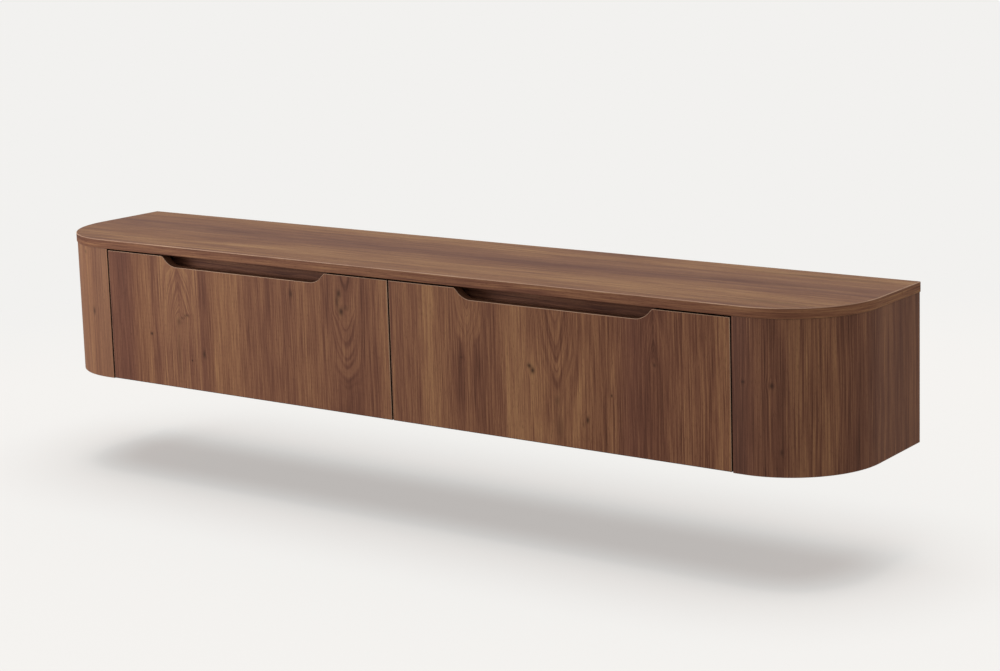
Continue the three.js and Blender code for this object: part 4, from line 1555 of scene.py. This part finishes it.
@dataclass(frozen=True)
class VeneerSet:
    """Every veneer of the console, each with the strips and knots of its own face."""

    def left_flap(self) -> WalnutVeneer:
        """Purple strip, golden strip with a knot, an arched strip and a swirl at the right."""
        low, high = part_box("left_flap")
        crest = Arches(crown=187, tip=122, taper=0.3, reach=52, bluntness=3)
        swirl = Arches(crown=611, tip=0, taper=-0.16, reach=56, bluntness=13)
        return WalnutVeneer(
            "left flap walnut veneer", high.x - low.x, high.z - low.z,
            leaves=(
                Leaf(0, 0.35, 0.8, 0.2), Leaf(38, 0.29, 0.85), Leaf(62, 0.45, 0.3, 0.1),
                Leaf(80, 0.68, 0.1, 0.1), Leaf(108, 0.40, 0.5, 0.1),
                Leaf(132, 0.47, 0.65, -0.45, crest), Leaf(180, 0.39, 0.65, -0.45, crest),
                Leaf(239, 0.40, 0.6), Leaf(262, 0.63, 0.15, 0.14), Leaf(300, 0.58, 0.2, 0.14),
                Leaf(345, 0.54, 0.35), Leaf(375, 0.40, 0.45), Leaf(410, 0.58, 0.45, 0.2),
                Leaf(450, 0.47, 0.4, 0.24), Leaf(530, 0.62, 0.3, 0.16),
                Leaf(554, 0.53, 0.45, 0.28, swirl), Leaf(584, 0.39, 0.5, 0.28, swirl),
                Leaf(668, 0.58, 0.4, 0.16), Leaf(690, 0.64, 0.4),
            ),
            knots=(
                Knot(110, 157, 3.5, 0.9, 0.9), Knot(207, 112, 6, 0.55, 0.5),
                Knot(196, 118, 5, 0.4, 0.6), Knot(186, 126, 5, 0.4, 1.4), Knot(183, 190, 5, 0.3, 9.0),
                Knot(249, 184, 4, 0.75, 2.2), Knot(216, 200, 2, 0.9, 1.0), Knot(479, 45, 4.5, 0.6, 1.6),
                Knot(596, 34, 5, 0.75, 1.6), Knot(591, 50, 5, 0.55, 2.4), Knot(600, 68, 6, 0.8, 1.2),
                Knot(611, 60, 8, 0.35, 0.7),
            ),
            figure_depth=1.35, fibre_depth=1.0, seed=3.1,
        )

    def right_flap(self) -> WalnutVeneer:
        """Red strip, a small and a large V, a purple strip with an arch and fine straight lines."""
        low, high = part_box("right_flap")
        small_v = Arches(crown=178, tip=0, taper=-0.28, reach=40, bluntness=3)
        large_v = Arches(crown=365, tip=-10, taper=-0.2, reach=60, bluntness=5)
        arch = Arches(crown=562, tip=100, taper=0.18, reach=32, bluntness=2)
        return WalnutVeneer(
            "right flap walnut veneer", high.x - low.x, high.z - low.z,
            leaves=(
                Leaf(0, 0.42, 0.5, 0.26), Leaf(60, 0.59, 0.4, 0.2), Leaf(78, 0.70, 0.3, 0.14),
                Leaf(104, 0.50, 0.3, 0.2), Leaf(136, 0.60, 0.35, 0.26, small_v), Leaf(219, 0.42, 0.2),
                Leaf(250, 0.60, 0.35, 0.16), Leaf(272, 0.74, 0.4, 0.16),
                Leaf(304, 0.62, 0.1, 0.18, large_v), Leaf(345, 0.50, 0.15, 0.18, large_v),
                Leaf(390, 0.58, 0.1, 0.18, large_v), Leaf(427, 0.60, 0.1, 0.24),
                Leaf(478, 0.50, 0.15, 0.2), Leaf(500, 0.22, 0.9, 0.12),
                Leaf(530, 0.46, 0.4, 0.22, arch), Leaf(594, 0.45, 0.35, 0.34),
                Leaf(640, 0.53, 0.25, 0.34), Leaf(676, 0.62, 0.25, 0.3),
            ),
            knots=(
                Knot(308, 123, 5, 0.8, 0.9), Knot(315, 131, 4.5, 0.9, 1.3),
                Knot(366, 178, 6, 0.35, 1.6), Knot(370, 225, 9, 0.3, 2.6), Knot(160, 124, 4, 0.35, 0.6),
                Knot(428, 205, 3.5, 0.8, 1.8), Knot(420, 214, 4, 0.3, 1.4), Knot(478, 157, 2, 0.8, 1.4),
                Knot(565, 95, 4, 0.5, 1.0),
            ),
            figure_depth=1.25, fibre_depth=1.0, seed=8.4,
        )

    def casing(self, side: Side, width: float) -> WalnutVeneer:
        """Veneer that runs round an end: lighter on the left end, redder and darker on the right.

        Args:
            side: which end.
            width: length of the face from the lip to the wall.

        Returns:
            The veneer.
        """
        if side is Side.RIGHT:
            figure, fibre = 1.6, 0.9
            leaves = (
                Leaf(0, 0.26, 0.6, 0.2), Leaf(22, 0.46, 0.2, 0.3), Leaf(82, 0.34, 0.4, 0.3),
                Leaf(98, 0.64, 0.05, 0.3), Leaf(150, 0.54, 0.1, 0.26), Leaf(195, 0.32, 0.3, 0.26),
                Leaf(243, 0.48, 0.2, 0.24), Leaf(330, 0.40, 0.3, 0.2), Leaf(390, 0.46, 0.2, 0.2),
            )
            knots = (
                Knot(20, 107, 3, 0.7, 0.9), Knot(70, 110, 4, 0.75, 1.2), Knot(85, 220, 2.5, 0.6, 2.0),
            )
        else:
            figure, fibre = 0.9, 0.6
            leaves = (
                Leaf(0, 0.56, 0.15), Leaf(60, 0.64, 0.1), Leaf(120, 0.54, 0.25),
                Leaf(210, 0.46, 0.3), Leaf(300, 0.54, 0.15), Leaf(370, 0.44, 0.4),
            )
            knots = (Knot(48, 130, 4, 0.7, 2.0), Knot(70, 12, 4, 0.5, 1.0))
        low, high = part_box(f"{side.word}_end_casing")
        return WalnutVeneer(
            f"{side.word} casing walnut veneer", width, high.z - low.z, leaves, knots,
            seed=5.7 + side.value, wander=5 * MM, wander_across=60 * MM, figure_depth=figure,
            fibre_along=140 * MM, fibre_depth=fibre, specular=0.2,
        )

    def top(self) -> WalnutVeneer:
        """Long soft streaks: pale wood at the front and rear and a purple strip between."""
        low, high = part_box("top_panel")
        return WalnutVeneer(
            "top panel walnut veneer", high.y - low.y, high.x - low.x,
            leaves=(
                Leaf(0, 0.56, 0.3, 0.1), Leaf(20, 0.60, 0.2, 0.1), Leaf(60, 0.64, 0.2, 0.1),
                Leaf(110, 0.58, 0.4, 0.1), Leaf(140, 0.49, 0.7, 0.12), Leaf(190, 0.44, 0.8, 0.12),
                Leaf(230, 0.52, 0.5, 0.12), Leaf(262, 0.64, 0.2, 0.1), Leaf(300, 0.58, 0.3, 0.1),
            ),
            knots=(
                Knot(52, 140, 9, 0.3, 8.0), Knot(190, 240, 9, 0.22, 20.0), Knot(278, 160, 9, 0.3, 14.0),
                Knot(190, 1470, 10, 0.22, 18.0),
            ),
            wander=26 * MM, wander_along=700 * MM, wander_across=160 * MM, seed=7.4,
            figure_across=60 * MM, figure_along=900 * MM, figure_depth=1.4,
            ring=9 * MM, ring_along=400 * MM, fade_along=300 * MM, fade_across=20 * MM,
            fibre_across=4 * MM, fibre_along=220 * MM, fibre_depth=0.9, roughness=0.6, specular=0.06,
            stain=TOP_SHEEN_STAIN,
        )

    def plain(self, name: str, stain: Stain, seed: float, grain: Grain = Grain.UNROLLED) -> Material:
        """Straight-grained wood without knots, for edges and inner faces, as two leaves alike.

        Args:
            name: name of the material.
            stain: its colours.
            seed: place in the noise.
            grain: where the pattern lies.

        Returns:
            The material.
        """
        sheet = 2000 * MM
        return WalnutVeneer(
            name, sheet, sheet, leaves=(Leaf(0, 0.5), Leaf(1900, 0.5)), stain=stain, grain=grain,
            seed=seed, figure_across=12 * MM, figure_along=500 * MM, figure_depth=2.0,
        ).material()


def main() -> None:
    """Builds the console piece by piece, and its studio."""
    logging.basicConfig(level=logging.INFO, format="%(name)s: %(message)s")
    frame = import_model()
    Studio().build()

    veneers = VeneerSet()
    edge = veneers.plain("walnut edge band", Stain(), 2.2)
    # Painted shade: the flap edges and the casing lips' ends are nearly black to stand for the shade in
    # the gaps.
    gap_shade_edge = veneers.plain("dark-stained flap edge band", GAP_SHADE_STAIN, 3.3)
    # Painted highlight: the pale arris veneer stands for the light caught on the lit arrises.
    arris = veneers.plain("sanded walnut arris", ARRIS_HIGHLIGHT_STAIN, 9.2)
    backing = veneers.plain("walnut backing veneer", Stain(), 6.1)
    # Painted shade: the dark inner veneer stands for the shade on the inner boards, rails' edges and
    # notches.
    inner = veneers.plain("dark walnut inner veneer", INNER_SHADE_STAIN, 4.4)
    TopPanel().build(veneers.top().material(), edge, arris, FIBREBOARD.material())
    ply = BentPly().material()
    for side in Side:
        casing = EndCasing(side)
        casing.build(veneers.casing(side, casing.length).material(), ply, gap_shade_edge)
    Flap(Side.LEFT).build(veneers.left_flap().material(), backing, gap_shade_edge, inner, arris)
    Flap(Side.RIGHT).build(veneers.right_flap().material(), backing, gap_shade_edge, inner, arris)
    InnerBoards().build(inner, veneers.plain("red walnut rail veneer", RAIL_STAIN, 4.9), inner)
    # The bottom and back get the inner veneer's painted shade too.
    lengthwise = veneers.plain("dark walnut lengthwise veneer", INNER_SHADE_STAIN, 7.3, Grain.ALONG_X)
    for node in ("bottom_panel", "back_panel"):
        for slot in frame["nodes"][node].material_slots:
            slot.material = lengthwise

    steel = ZincPlate().material()
    Fittings().build(frame, {
        "zinc_steel": steel,
        "black_plastic": MouldedNylon("black nylon", "#1e1e1f").material(),
        "grey_plastic": MouldedNylon("grey nylon", "#a8a9aa").material(),
        "magnet": FERRITE.material(),
    })
    Screws().build(steel)


if __name__ == "__main__":
    main()
